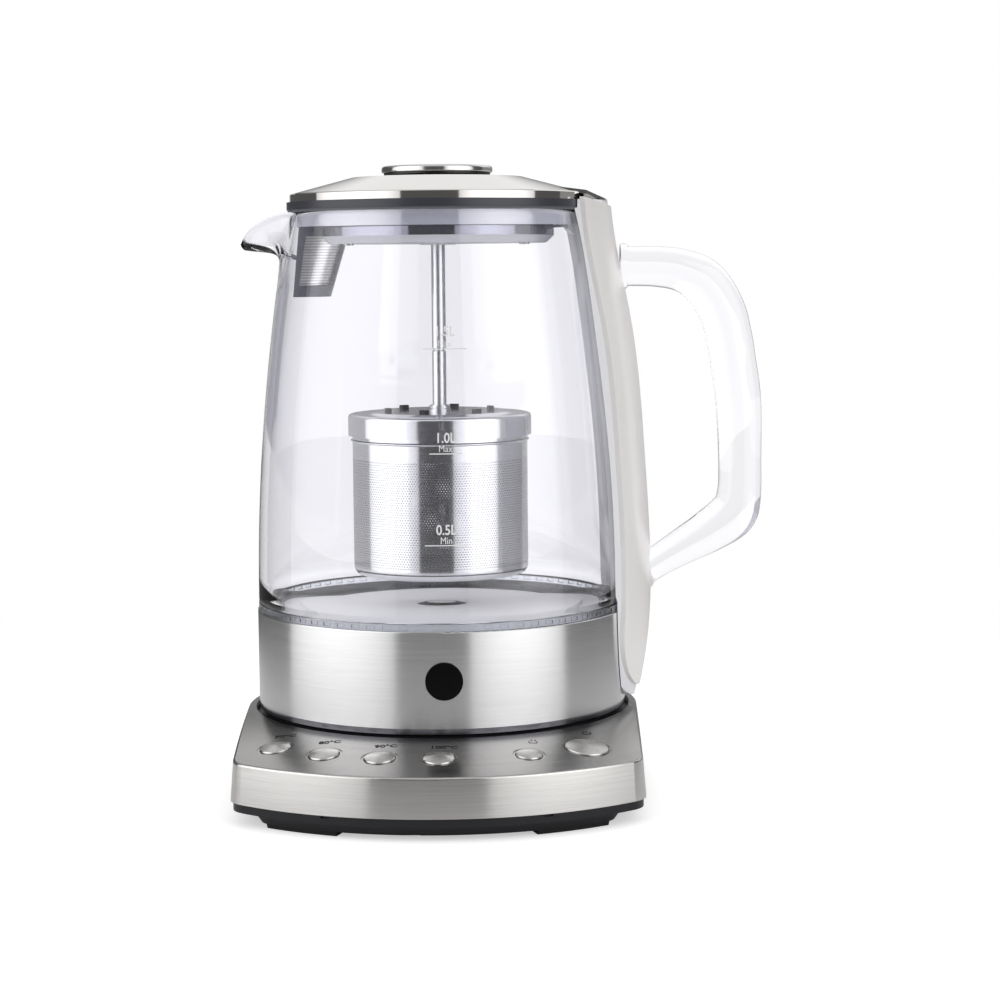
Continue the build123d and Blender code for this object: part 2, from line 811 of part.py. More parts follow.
def spout_beak(inset, past_tip):
    """Lofted beak along -X, drawn in by inset and carried past its tip by past_tip."""
    with BuildPart() as beak:
        for reach, half_width, rise, half_height in spout_stations:
            at_tip = reach == spout_stations[-1][0]
            station = Plane(
                origin=(-reach - (past_tip if at_tip else 0), 0, rim_z + rise),
                x_dir=(0, 1, 0),
                z_dir=(-1, 0, 0),
            )
            with BuildSketch(station):
                Ellipse(max(half_width - inset, 1.0), max(half_height - inset, 2.4))
        loft()
    return beak.part


beak_outside = spout_beak(0, 0)
beak_inside = spout_beak(glass_wall - 0.4, 1.0)
with BuildPart() as glass_inside:
    with BuildSketch(Plane.XZ):
        with BuildLine():
            Line((0, rim_z + 5), (inner_curve[0][0], rim_z + 5))
            Line((inner_curve[0][0], rim_z + 5), inner_curve[0])
            Spline(*inner_curve)
            Line(inner_curve[-1], (glass_socket_radius - glass_wall, collar_top_z))
            Line(
                (glass_socket_radius - glass_wall, collar_top_z),
                (glass_socket_radius - glass_wall, glass_seat_z - 5),
            )
            Line((glass_socket_radius - glass_wall, glass_seat_z - 5), (0, glass_seat_z - 5))
            Line((0, glass_seat_z - 5), (0, rim_z + 5))
        make_face()
    revolve(axis=Axis.Z)

with BuildPart() as jug_glass:
    with BuildSketch(Plane.XZ):
        with BuildLine():
            Spline(*outer_curve)
            Polyline(
                outer_curve[-1],
                (glass_foot_radius, ring_top_z + 0.6),
                (glass_foot_radius - 0.5, ring_top_z + 0.05),
                (glass_socket_radius, ring_top_z + 0.05),
                (glass_socket_radius, glass_seat_z),
                (0, glass_seat_z),
                (0, rim_z),
                outer_curve[0],
            )
        make_face()
    revolve(axis=Axis.Z)
    add(beak_outside)
    add(glass_inside.part, mode=Mode.SUBTRACT)
    add(beak_inside, mode=Mode.SUBTRACT)
    # everything above the rim comes off, and the lip droops towards the spout's tip
    with BuildSketch(Plane.XZ):
        with BuildLine():
            Polyline(
                (-glass_mouth_radius, rim_z),
                (glass_mouth_radius + 30, rim_z),
                (glass_mouth_radius + 30, rim_z + 60),
                (-spout_reach - 20, rim_z + 60),
                (-spout_reach - 20, rim_z - spout_drop - 3),
                (-spout_reach - 0.2, rim_z - spout_drop),
            )
            Spline(
                (-spout_reach - 0.2, rim_z - spout_drop),
                (-0.45 * spout_reach - 0.55 * glass_mouth_radius - 2.5, rim_z - 0.3 * spout_drop),
                (-glass_mouth_radius, rim_z),
                tangents=[(0.35, 1.0), (1.0, 0.12)],
            )
        make_face()
    extrude(amount=2 * spout_half_width + 20, both=True, mode=Mode.SUBTRACT)
jug_glass.part.label = "jug_glass"
export_step(jug_glass.part, "parts/jug_glass.step")

# Outside of the glass and collar with a small gap, which the liner and the spine wrap round
liner_gap = 0.2
hook_top_z = rim_z + 0.7 * lid_gasket
wrap_curve = glass_curve(liner_gap)
with BuildPart() as jug_envelope:
    with BuildSketch(Plane.XZ):
        with BuildLine():
            Spline(*wrap_curve)
            Polyline(
                wrap_curve[-1],
                (collar_radius + liner_gap, wrap_curve[-1][1] - 2.0),
                (collar_radius + liner_gap, jug_rest_z),
                (0, jug_rest_z),
                (0, dome_top_z),
                (lid_ring_radius + 2 * liner_gap, dome_top_z),
                (lid_ring_radius + 2 * liner_gap, hook_top_z),
                (wrap_curve[0][0], hook_top_z),
                wrap_curve[0],
            )
        make_face()
    revolve(axis=Axis.Z)

# Crest of the spine: how far its outside stands out from the jug at each height
spine_top_z = lid_ring_height + lid_bottom_z + 1.0
crest_stations = [
    (spine_top_z + 2.0, glass_mouth_radius + 0.86 * spine_proud),
    (rim_z - 18.0, glass_radius(rim_z - 18.0) + 0.84 * spine_proud),
    (rim_z - 50.0, glass_radius(rim_z - 50.0) + spine_proud),
    (rim_z - 100.0, glass_radius(rim_z - 100.0) + spine_proud),
    (glass_foot_z + 14.0, collar_radius + 0.97 * spine_proud),
    (collar_top_z - 8.0, collar_radius + 0.9 * spine_proud),
    (spine_tip_z + 6.0, collar_radius + 0.62 * spine_proud),
    (spine_tip_z - liner_tip_drop - 2.0, collar_radius + 0.3 * spine_proud),
]
crest_line = [(x - spine_round_radius, z) for z, x in crest_stations]


def spine_tube(radius):
    """Round column that follows the spine's crest, with the given outer radius."""
    with BuildPart() as tube:
        with BuildLine(Plane.XZ) as path:
            Spline(*crest_line)
        with BuildSketch(Plane(origin=path.line @ 0, x_dir=(0, 1, 0), z_dir=path.line % 0)):
            Circle(radius)
        sweep(path=path.line)
    return tube.part


def spine_front(half_width, tip_z, top_z):
    """Outline of the spine seen along X: straight sides and a tongue-shaped tip."""
    with BuildSketch() as front:
        with BuildLine():
            shoulder_z = tip_z + 1.15 * half_width
            Polyline(
                (-half_width, shoulder_z),
                (-half_width, top_z),
                (half_width, top_z),
                (half_width, shoulder_z),
            )
            Spline(
                (half_width, shoulder_z),
                (0, tip_z),
                (-half_width, shoulder_z),
                tangents=[(0, -1), (0, 1)],
            )
        make_face()
    return front.sketch


spine_outside = spine_tube(spine_round_radius)
spine_inside = spine_tube(spine_round_radius - spine_wall)
cover_front = spine_front(spine_half_width, spine_tip_z, spine_top_z)
liner_front = spine_front(liner_half_width, spine_tip_z - liner_tip_drop, spine_top_z - 1.0)
liner_depth = 4.0

# Grey liner: a moulded strip on the glass and collar, hooked over the rim by a clamp lug
with BuildPart() as spine_liner:
    add(spine_inside)
    add(jug_envelope.part, mode=Mode.SUBTRACT)
    with BuildSketch(Plane.YZ):
        add(liner_front)
    extrude(amount=2 * collar_radius, mode=Mode.INTERSECT)
    with BuildSketch(Plane.XZ):
        with BuildLine():
            hook_inner = glass_mouth_radius - glass_wall
            Polyline(
                (hook_inner - 1.3, rim_z + 0.1),
                (glass_mouth_radius + 4.0, rim_z + 0.1),
                (glass_mouth_radius + 4.0, hook_top_z),
                (hook_inner - 5.0, hook_top_z),
                (hook_inner - 5.0, rim_z - 7.0),
                (hook_inner - 3.0, rim_z - 9.0),
                (hook_inner - 1.6, rim_z - 9.0),
                close=True,
            )
        make_face()
    extrude(amount=8.0, both=True)
spine_liner.part.label = "spine_liner"
export_step(spine_liner.part, "parts/spine_liner.step")

# Satin steel spine: a pressed half-round cover over the liner
with BuildPart() as spine_cover:
    add(spine_outside)
    add(spine_inside, mode=Mode.SUBTRACT)
    add(jug_envelope.part, mode=Mode.SUBTRACT)
    with BuildSketch(Plane.YZ):
        add(cover_front)
    extrude(amount=2 * collar_radius, mode=Mode.INTERSECT)
    with BuildSketch(Plane.XZ):
        with BuildLine():
            Polyline(
                (0, spine_top_z),
                (glass_mouth_radius - 2, spine_top_z),
                (glass_mouth_radius + 20, spine_top_z - 6.5),
                (glass_mouth_radius + 20, spine_top_z + 20),
                (0, spine_top_z + 20),
                close=True,
            )
        make_face()
    extrude(amount=2 * spine_half_width, both=True, mode=Mode.SUBTRACT)
spine_cover.part.label = "spine_cover"
export_step(spine_cover.part, "parts/spine_cover.step")

# Clear glass handle: one bent rod with flared roots that seat on the spine
handle_top_z = rim_z - handle_top_drop
handle_bottom_z = rim_z - handle_bottom_drop
handle_root_x = glass_mouth_radius + 5.0
with BuildPart() as glass_handle:
    with BuildLine(Plane.XZ) as handle_path:
        FilletPolyline(
            (handle_root_x, handle_top_z),
            (handle_reach - 8.0, handle_top_z),
            (handle_reach, handle_bottom_z),
            (handle_root_x + 5.0, handle_bottom_z - 28.0),
            radius=[22.0, 15.0],
        )
    with BuildSketch(Plane(origin=handle_path.line @ 0, x_dir=(0, 1, 0), z_dir=handle_path.line % 0)):
        Ellipse(handle_depth / 2, handle_thickness / 2)
    sweep(path=handle_path.line)
    with BuildSketch(Plane.XZ):
        with BuildLine():
            crest_x = glass_radius(handle_top_z) + 0.84 * spine_proud
            Polyline(
                (crest_x - 6.0, handle_top_z),
                (crest_x - 6.0, handle_top_z + handle_thickness / 2 + 3.0),
                (crest_x + 1.0, handle_top_z + handle_thickness / 2 + 2.0),
                (crest_x + 4.0, handle_top_z + handle_thickness / 2 - 0.2),
                (crest_x + 4.0, handle_top_z),
                close=True,
            )
        make_face()
    revolve(axis=Axis((0, 0, handle_top_z), (1, 0, 0)))
    add(spine_outside, mode=Mode.SUBTRACT)
    add(jug_envelope.part, mode=Mode.SUBTRACT)
glass_handle.part.label = "glass_handle"
export_step(glass_handle.part, "parts/glass_handle.step")

# ---------------------------------------------------------------- lift-off lid

hook_notch_half = 9.5
hook_reach = hook_inner - 6.0
bushing_radius = 5.0
bore_radius = rod_radius + rod_clearance
drum_wall = 2.0
drum_bottom_z = rim_z - 9.6
underside_z = drum_bottom_z - 2.8
mouth_seal_radius = glass_mouth_radius - glass_wall - mouth_clearance
bushing_top_z = dome_top_z + 0.4
detent_z = underside_z + 8.0

# Outside of the lid's drum, which the spout filter is cut to
with BuildPart() as drum_envelope:
    with BuildSketch(Plane.XZ):
        with BuildLine():
            Polyline(
                (0, underside_z - 0.1),
                (plug_radius - 2.9, underside_z - 0.1),
                (plug_radius + 0.1, drum_bottom_z),
                (plug_radius + 0.1, lid_rim_z),
                (0, lid_rim_z),
                close=True,
            )
        make_face()
    revolve(axis=Axis.Z)

# Moulded lid body: the grey ring that rests on the rim, the drum and its three screw posts
post_ring_radius = plug_radius - 7.0
post_radius = 2.6
post_height = 14.0
screw_radius = 1.0
pan_sheet = 1.1
with BuildPart() as lid_body:
    with BuildSketch(Plane.XZ):
        with BuildLine():
            Polyline(
                (plug_radius - drum_wall, drum_bottom_z),
                (plug_radius, drum_bottom_z),
                (plug_radius, lid_bottom_z),
                (lid_ring_radius, lid_bottom_z),
                (lid_ring_radius, lid_rim_z),
                (plug_radius - drum_wall, lid_rim_z),
                close=True,
            )
        make_face()
    revolve(axis=Axis.Z)
    with PolarLocations(post_ring_radius, 3, start_angle=90):
        with Locations((0, 0, underside_z + pan_sheet)):
            Cylinder(post_radius, post_height, align=on_base)
        with Locations((post_radius, 0, drum_bottom_z + 1.0)):
            Box(6.0, drum_wall, post_height - 4.0, align=on_base)
        with Locations((0, 0, underside_z)):
            Cylinder(screw_radius, 2 * post_height, mode=Mode.SUBTRACT)
lid_body.part.label = "lid_body"
export_step(lid_body.part, "parts/lid_body.step")

# Gasket between the lid's ring and the glass rim, notched for the spine's hook
with BuildPart() as lid_gasket_ring:
    with Locations((0, 0, rim_z)):
        Cylinder(glass_mouth_radius, lid_gasket, align=on_base)
        Cylinder(glass_mouth_radius - glass_wall, 4 * lid_gasket, mode=Mode.SUBTRACT)
    with Locations((glass_mouth_radius, 0, rim_z)):
        Box(20, 2 * hook_notch_half, 4 * lid_gasket, mode=Mode.SUBTRACT)
lid_gasket_ring.part.label = "lid_gasket_ring"
export_step(lid_gasket_ring.part, "parts/lid_gasket_ring.step")

# Clear sealing skirt round the drum, open at the spout and notched for the hook
seal_top_z = rim_z - 1.2
with BuildPart() as lid_seal:
    with Locations((0, 0, seal_top_z - seal_height)):
        Cylinder(mouth_seal_radius, seal_height, align=on_base)
        Cylinder(
            mouth_seal_radius - 1.4,
            seal_height - 1.0,
            align=on_base,
            mode=Mode.SUBTRACT,
        )
        Cylinder(plug_radius + 0.05, 4 * seal_height, mode=Mode.SUBTRACT)
    with Locations((mouth_seal_radius, 0, seal_top_z)):
        Box(2 * (mouth_seal_radius - hook_reach), 2 * hook_notch_half, 20, mode=Mode.SUBTRACT)
    with Locations((-mouth_seal_radius, 0, seal_top_z)):
        Box(2 * (mouth_seal_radius - plug_radius) + 6.0, 2 * filter_top_radius + 3.2, 20, mode=Mode.SUBTRACT)
lid_seal.part.label = "lid_seal"
export_step(lid_seal.part, "parts/lid_seal.step")

# Pale underside pan that closes the drum, with steam slots
with BuildPart() as lid_underside:
    with BuildSketch(Plane.XZ):
        with BuildLine():
            Polyline(
                (bushing_radius + 0.05, underside_z),
                (plug_radius - 3.0, underside_z),
                (plug_radius, drum_bottom_z),
                (plug_radius - 1.4, drum_bottom_z),
                (plug_radius - 3.5, underside_z + pan_sheet),
                (bushing_radius + 0.05, underside_z + pan_sheet),
                close=True,
            )
        make_face()
    revolve(axis=Axis.Z)
    with PolarLocations(plug_radius - 12, 8, start_angle=22.5):
        Box(2.0, 9.0, 4 * underside_z, mode=Mode.SUBTRACT)
    with PolarLocations(post_ring_radius, 3, start_angle=90):
        Cylinder(screw_radius, 4 * underside_z, mode=Mode.SUBTRACT)
lid_underside.part.label = "lid_underside"
export_step(lid_underside.part, "parts/lid_underside.step")

# Steel top of the lid: polished rim band, shallow cone and a tongue over the spine
tongue_slope = lid_dome_rise / (lid_rim_radius - 4.0)
tongue_foot_z = dome_foot_z + 0.4
with BuildPart() as tongue_plan:
    with BuildSketch(Plane.XY.offset(lid_rim_z)):
        with BuildLine():
            Polyline(
                (plug_radius - 4.0, -tongue_half_width),
                (lid_rim_radius, -tongue_half_width),
                (tongue_reach, -0.6 * tongue_half_width),
                (tongue_reach, 0.6 * tongue_half_width),
                (lid_rim_radius, tongue_half_width),
                (plug_radius - 4.0, tongue_half_width),
                close=True,
            )
        make_face()
    extrude(amount=lid_dome_rise + 10)
    fillet(tongue_plan.edges().filter_by(Axis.Z).group_by(Axis.X)[-1], 6.0)
with BuildPart() as tongue:
    with BuildSketch(Plane.XZ):
        with BuildLine():
            crest_rise = tongue_slope * (lid_rim_radius - plug_radius + 4.0)
            tip_fall = 0.36 * (tongue_reach - lid_rim_radius)
            Polyline(
                (plug_radius - 4.0, tongue_foot_z + crest_rise - lid_sheet),
                (lid_rim_radius, tongue_foot_z - lid_sheet),
                (tongue_reach, tongue_foot_z - tip_fall - lid_sheet),
                (tongue_reach, tongue_foot_z - tip_fall),
                (lid_rim_radius, tongue_foot_z + 0.5),
                (plug_radius - 4.0, tongue_foot_z + crest_rise + 0.5),
                close=True,
            )
        make_face()
    extrude(amount=tongue_half_width + 5, both=True)
    add(tongue_plan.part, mode=Mode.INTERSECT)
with BuildPart() as lid_dome:
    with BuildSketch(Plane.XZ):
        with BuildLine():
            Polyline(
                (lid_rim_radius - lid_sheet, lid_rim_z),
                (lid_rim_radius, lid_rim_z),
                (lid_rim_radius, dome_foot_z),
                (lid_rim_radius - 0.4, dome_foot_z + 0.4),
                (lid_flat_radius, dome_top_z - lid_flat_rise),
            )
            Spline(
                (lid_flat_radius, dome_top_z - lid_flat_rise),
                (bushing_radius + 0.1, dome_top_z),
                tangents=[(-1.0, 0.015), (-1.0, 0.0)],
            )
            Polyline(
                (bushing_radius + 0.1, dome_top_z),
                (bushing_radius + 0.1, dome_top_z - lid_sheet),
                (lid_flat_radius - 0.2, dome_top_z - lid_flat_rise - lid_sheet),
                (lid_rim_radius - 0.4 - lid_sheet, dome_foot_z + 0.4 - lid_sheet),
                (lid_rim_radius - lid_sheet, lid_rim_z),
            )
        make_face()
    revolve(axis=Axis.Z)
    add(tongue.part)
lid_dome.part.label = "lid_dome"
export_step(lid_dome.part, "parts/lid_dome.step")

# Bushing through the lid's middle: the rod's guide, with a top flange the knob rests on
with BuildPart() as lid_bushing:
    with Locations((0, 0, underside_z - 0.6)):
        Cylinder(
            bushing_radius,
            bushing_top_z - underside_z + 0.6,
            align=on_base,
        )
        Cylinder(bushing_radius + 2.0, 0.6, align=on_base)
    with Locations((0, 0, dome_top_z)):
        Cylinder(
            bushing_radius + 2.0,
            bushing_top_z - dome_top_z,
            align=on_base,
        )
    Cylinder(bore_radius, 4 * dome_top_z, mode=Mode.SUBTRACT)
    with Locations((0, 0, detent_z)):
        Cylinder(bushing_radius - 1.0, 3.0, mode=Mode.SUBTRACT)
lid_bushing.part.label = "lid_bushing"
export_step(lid_bushing.part, "parts/lid_bushing.step")

# Detent spring: an open ring in the bushing's groove that catches the rod's neck
with BuildPart() as detent_ring:
    with BuildSketch(Plane.XZ):
        with Locations((rod_radius + 0.65, detent_z)):
            Circle(0.5)
    revolve(axis=Axis.Z, revolution_arc=300)
detent_ring.part.label = "detent_ring"
export_step(detent_ring.part, "parts/detent_ring.step")

# Three screws that hold the underside pan to the posts inside the drum
with BuildPart() as lid_screws:
    with PolarLocations(post_ring_radius, 3, start_angle=90):
        with Locations((0, 0, underside_z)):
            Cylinder(2 * screw_radius, 0.8, align=on_top)
            Cylinder(screw_radius, 8.0, align=on_base)
lid_screws.part.label = "lid_screws"
export_step(lid_screws.part, "parts/lid_screws.step")

# Spout filter: a leaning half-round cage that follows the glass wall down from the lid. Its
# back is open towards the glass, and its two side windows are backed by a thin mesh.
filter_top_z = rim_z - filter_top_drop
filter_bottom_z = filter_top_z - filter_height
mesh_sheet = 0.5
filter_stations = [
    # height, middle of the round front, its radius, back edge
    (filter_bottom_z, -plug_radius - 8.0, filter_bottom_radius, -plug_radius - 10.4),
    (filter_top_z, -plug_radius - 0.4, filter_top_radius, -plug_radius - 7.4),
]


def filter_block(inset, floor, past_back):
    """Lofted solid inside the cage, drawn in by inset, raised by floor, longer at its back."""
    (low_z, *low), (high_z, *high) = filter_stations
    with BuildPart() as block:
        for z in (low_z + floor, high_z):
            share = (z - low_z) / (high_z - low_z)
            middle, radius, back = [a + (b - a) * share for a, b in zip(low, high)]
            half = radius - inset
            with BuildSketch(Plane.XY.offset(z)):
                with BuildLine():
                    ThreePointArc((middle, -half), (middle + half, 0), (middle, half))
                    Polyline(
                        (middle, half),
                        (back - past_back, half),
                        (back - past_back, -half),
                        (middle, -half),
                    )
                make_face()
        loft(ruled=True)
    return block.part


with BuildPart() as filter_windows:
    with BuildSketch(Plane.XZ):
        with BuildLine():
            back_low = filter_stations[0][3] + filter_border
            back_high = filter_stations[1][3] + filter_border
            Polyline(
                (back_low, filter_bottom_z + 2 * filter_border),
                (0, filter_bottom_z + 2 * filter_border),
                (0, filter_top_z - 2 * filter_border),
                (back_high, filter_top_z - 2 * filter_border),
                close=True,
            )
        make_face()
    extrude(amount=2 * filter_top_radius, both=True)
    with Locations((0, 0, filter_bottom_z)):
        Box(4 * plug_radius, 2 * filter_rib_half, 4 * filter_height, mode=Mode.SUBTRACT)

with BuildPart() as filter_mesh:
    add(filter_block(filter_wall + 0.05, filter_wall + 0.05, 0))
    add(filter_block(filter_wall + 0.05 + mesh_sheet, filter_wall + 0.05, 5), mode=Mode.SUBTRACT)
    add(drum_envelope.part, mode=Mode.SUBTRACT)
filter_mesh.part.label = "filter_mesh"
export_step(filter_mesh.part, "parts/filter_mesh.step")

with BuildPart() as filter_frame:
    add(filter_block(0, 0, 0))
    add(filter_block(filter_wall, filter_wall, 5), mode=Mode.SUBTRACT)
    add(filter_windows.part, mode=Mode.SUBTRACT)
    add(drum_envelope.part, mode=Mode.SUBTRACT)
filter_frame.part.label = "filter_frame"
export_step(filter_frame.part, "parts/filter_frame.step")

# ---------------------------------------------------------------- infuser

# Knob: a steel disc on a dark moulded base that rests on the lid's bushing
with BuildPart() as knob_base:
    with Locations((0, 0, bushing_top_z)):
        Cylinder(bushing_radius + 2.0, knob_base_height, align=on_base)
    with Locations((0, 0, bushing_top_z + 0.4)):
        Cylinder(knob_radius - 0.9, knob_base_height - 0.4, align=on_base)
    Cylinder(rod_radius + 0.02, 4 * dome_top_z, mode=Mode.SUBTRACT)
knob_base.part.label = "knob_base"
export_step(knob_base.part, "parts/knob_base.step")

with BuildPart() as knob_disc:
    with Locations((0, 0, bushing_top_z + knob_base_height)):
        Cylinder(knob_radius, knob_height, align=on_base)
    fillet(knob_disc.edges().group_by(Axis.Z)[-1], 1.2)
    fillet(knob_disc.edges().group_by(Axis.Z)[0], 0.5)
    with Locations((0, 0, bushing_top_z + knob_base_height)):
        Cylinder(rod_radius + 0.02, 2 * 1.4, mode=Mode.SUBTRACT)
knob_disc.part.label = "knob_disc"
export_step(knob_disc.part, "parts/knob_disc.step")

# Lifting rod with the narrow neck that the detent catches when the basket is raised
neck_z = detent_z - rod_travel
rod_top_z = bushing_top_z + knob_base_height + 1.4
rod_bottom_z = cover_top_z - 3.6
with BuildPart() as lift_rod:
    with Locations((0, 0, rod_bottom_z)):
        Cylinder(rod_radius, rod_top_z - rod_bottom_z, align=on_base)
    with BuildSketch(Plane.XZ):
        with Locations((rod_radius + 0.35, neck_z)):
            Circle(0.75)
    revolve(axis=Axis.Z, mode=Mode.SUBTRACT)
lift_rod.part.label = "lift_rod"
export_step(lift_rod.part, "parts/lift_rod.step")

# Basket cover: a flat steel cap with a rolled shoulder and six slots
cover_crown = 0.8
slot_ring_radius = 21.0
barb_width = 3.4
barb_depth = 2.0
with BuildPart() as basket_cover:
    with Locations((0, 0, cover_top_z - cover_height)):
        Cylinder(cover_radius, cover_height, align=on_base)
    fillet(basket_cover.edges().group_by(Axis.Z)[-1], 1.4)
    with BuildSketch(Plane.XZ):
        with BuildLine():
            Polyline(
                (0, cover_top_z - 0.4),
                (cover_radius - 6.0, cover_top_z - 0.4),
                (cover_radius - 9.0, cover_top_z + cover_crown),
                (0, cover_top_z + cover_crown),
                close=True,
            )
        make_face()
    revolve(axis=Axis.Z)
    with Locations((0, 0, cover_top_z - basket_sheet)):
        Cylinder(
            cover_radius - basket_sheet,
            2 * cover_height,
            align=on_top,
            mode=Mode.SUBTRACT,
        )
    Cylinder(rod_radius + 0.02, 4 * cover_top_z, mode=Mode.SUBTRACT)
    with PolarLocations(slot_ring_radius, 6, start_angle=15):
        with Locations((0, 0, cover_top_z)):
            Box(barb_depth + 0.2, barb_width + 0.2, 8, mode=Mode.SUBTRACT)
basket_cover.part.label = "basket_cover"
export_step(basket_cover.part, "parts/basket_cover.step")

# Dark bayonet ring under the cover; its six barbs come up through the slots
bayonet_top_z = cover_top_z - basket_sheet
cup_wall = 0.6
bayonet_radius = cup_radius - cup_wall - 0.4
with BuildPart() as bayonet_ring:
    with Locations((0, 0, bayonet_top_z)):
        Cylinder(bayonet_radius, 6.0, align=on_top)
    with Locations((0, 0, bayonet_top_z - 1.2)):
        Cylinder(
            bayonet_radius - 1.6,
            10.0,
            align=on_top,
            mode=Mode.SUBTRACT,
        )
    with PolarLocations(slot_ring_radius, 6, start_angle=15):
        with Locations((0, 0, bayonet_top_z - 1.0)):
            Box(
                barb_depth,
                barb_width,
                1.0 + basket_sheet + cover_crown + 1.5,
                align=on_base,
            )
    Cylinder(rod_radius + 0.02, 4 * cover_top_z, mode=Mode.SUBTRACT)
bayonet_ring.part.label = "bayonet_ring"
export_step(bayonet_ring.part, "parts/bayonet_ring.step")

# Rod nuts: a double ring on the cover and a plain nut below the bayonet ring
with BuildPart() as rod_nuts:
    nut_z = cover_top_z + cover_crown
    with Locations((0, 0, nut_z)):
        Cylinder(rod_radius + 0.9, 2.4, align=on_base)
        Cylinder(rod_radius + 1.7, 0.8, align=on_base)
    with Locations((0, 0, nut_z + 1.2)):
        Cylinder(rod_radius + 1.5, 0.8, align=on_base)
    with Locations((0, 0, bayonet_top_z - 1.2)):
        Cylinder(rod_radius + 1.8, 1.2, align=on_top)
    Cylinder(rod_radius + 0.02, 4 * cover_top_z, mode=Mode.SUBTRACT)
rod_nuts.part.label = "rod_nuts"
export_step(rod_nuts.part, "parts/rod_nuts.step")

# Tea basket cup: thin steel with a rolled bead under the cover and a perforated wall
cup_top_z = cover_top_z - basket_sheet - 1.5
bead_z = cover_top_z - cover_height - 2.0
hole_zone_bottom_z = cup_bottom_z + 6.0
hole_zone_top_z = bead_z - 7.0
row_pitch = (hole_zone_top_z - hole_zone_bottom_z) / (hole_rows - 1)
with BuildPart() as cup_inside:
    with Locations((0, 0, cup_bottom_z + cup_wall)):
        Cylinder(cup_radius - cup_wall, cup_top_z - cup_bottom_z, align=on_base)
    fillet(cup_inside.edges().group_by(Axis.Z)[0], cup_bottom_fillet - cup_wall)
with BuildPart() as basket_cup:
    with Locations((0, 0, cup_bottom_z)):
        Cylinder(cup_radius, cup_top_z - cup_bottom_z, align=on_base)
    fillet(basket_cup.edges().group_by(Axis.Z)[0], cup_bottom_fillet)
    with Locations((0, 0, bead_z)):
        Cylinder(cup_radius + 0.7, 1.2)
    add(cup_inside.part, mode=Mode.SUBTRACT)
    for row in range(hole_rows):
        row_z = hole_zone_bottom_z + row * row_pitch
        with PolarLocations(cup_radius, holes_per_row, start_angle=180 / holes_per_row * (row % 2)):
            with Locations((0, 0, row_z)):
                Cylinder(hole_radius, 8, rotation=(0, 90, 0), mode=Mode.SUBTRACT)
basket_cup.part.label = "basket_cup"
export_step(basket_cup.part, "parts/basket_cup.step")
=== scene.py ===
import math
import bmesh
import bpy
from mathutils import Matrix, Vector


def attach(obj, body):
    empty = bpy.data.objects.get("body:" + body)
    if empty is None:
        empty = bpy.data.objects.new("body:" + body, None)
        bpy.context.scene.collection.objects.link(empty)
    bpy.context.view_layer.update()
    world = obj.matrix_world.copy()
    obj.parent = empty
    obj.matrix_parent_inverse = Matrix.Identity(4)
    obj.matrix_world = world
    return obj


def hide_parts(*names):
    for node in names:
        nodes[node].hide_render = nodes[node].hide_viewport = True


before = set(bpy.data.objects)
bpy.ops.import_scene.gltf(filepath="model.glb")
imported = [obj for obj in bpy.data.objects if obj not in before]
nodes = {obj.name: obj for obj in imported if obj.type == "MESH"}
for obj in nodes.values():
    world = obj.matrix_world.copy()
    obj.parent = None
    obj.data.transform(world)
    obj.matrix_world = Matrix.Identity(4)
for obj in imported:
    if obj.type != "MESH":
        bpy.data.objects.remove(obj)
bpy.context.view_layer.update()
scene = bpy.context.scene

# ------------------------------------------------------------------ camera
# A long lens looks slightly down at the jug from a little to the right of its axis.
CAMERA_PLACE = (0.02375, -0.927, 0.2049)
CAMERA_PITCH = 5.78
CAMERA_ROLL = -0.5
CAMERA_LENS = 83.7
CAMERA_SENSOR = 36.0
CAMERA_REACH = 20.0

camera_data = bpy.data.cameras.new("camera")
camera_data.lens = CAMERA_LENS
camera_data.sensor_width = CAMERA_SENSOR
camera_data.clip_end = CAMERA_REACH
camera = bpy.data.objects.new("camera", camera_data)
scene.collection.objects.link(camera)
camera.location = CAMERA_PLACE
look = Matrix.Rotation(math.radians(90.0 - CAMERA_PITCH), 4, "X")
look = look @ Matrix.Rotation(math.radians(CAMERA_ROLL), 4, "Z")
camera.rotation_euler = look.to_euler()
scene.camera = camera
scene.view_settings.view_transform = "Standard"

# ------------------------------------------------------------------ studio
# A white floor and a curved white backdrop, with a wide soft box on each side of the
# camera. The gap between the boxes stays dark, so polished metal shows a dark stripe.


def linear(hex_colour):
    """An sRGB hex colour as the linear colour that shaders take."""
    values = [int(hex_colour[i : i + 2], 16) / 255 for i in (1, 3, 5)]
    values = [v / 12.92 if v <= 0.04045 else ((v + 0.055) / 1.055) ** 2.4 for v in values]
    return (*values, 1.0)


def add(tree, kind, values=None, links=None, **settings):
    """Adds a node to the tree with its settings, its input values and its links."""
    node = tree.nodes.new(kind)
    for name, value in settings.items():
        setattr(node, name, value)
    for name, value in (values or {}).items():
        node.inputs[name].default_value = value
    for name, socket in (links or {}).items():
        tree.links.new(socket, node.inputs[name])
    return node


def new_material(name):
    """An empty node material and its tree."""
    material = bpy.data.materials.new(name)
    material.use_nodes = True
    material.node_tree.nodes.clear()
    return material, material.node_tree


SHARP_CORNER = math.radians(40.0)


def new_piece(name, bm, material, body, replaces=()):
    """Makes a bmesh a smooth piece that rides on a body and replaces CAD nodes.

    Corners sharper than SHARP_CORNER stay crisp.
    """
    for edge in bm.edges:
        edge.smooth = len(edge.link_faces) != 2 or edge.calc_face_angle(0) < SHARP_CORNER
    mesh = bpy.data.meshes.new(name)
    bm.to_mesh(mesh)
    bm.free()
    mesh.materials.append(material)
    piece = bpy.data.objects.new(name, mesh)
    scene.collection.objects.link(piece)
    for polygon in mesh.polygons:
        polygon.use_smooth = True
    if body:
        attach(piece, body)
    if replaces:
        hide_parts(*replaces)
    return piece


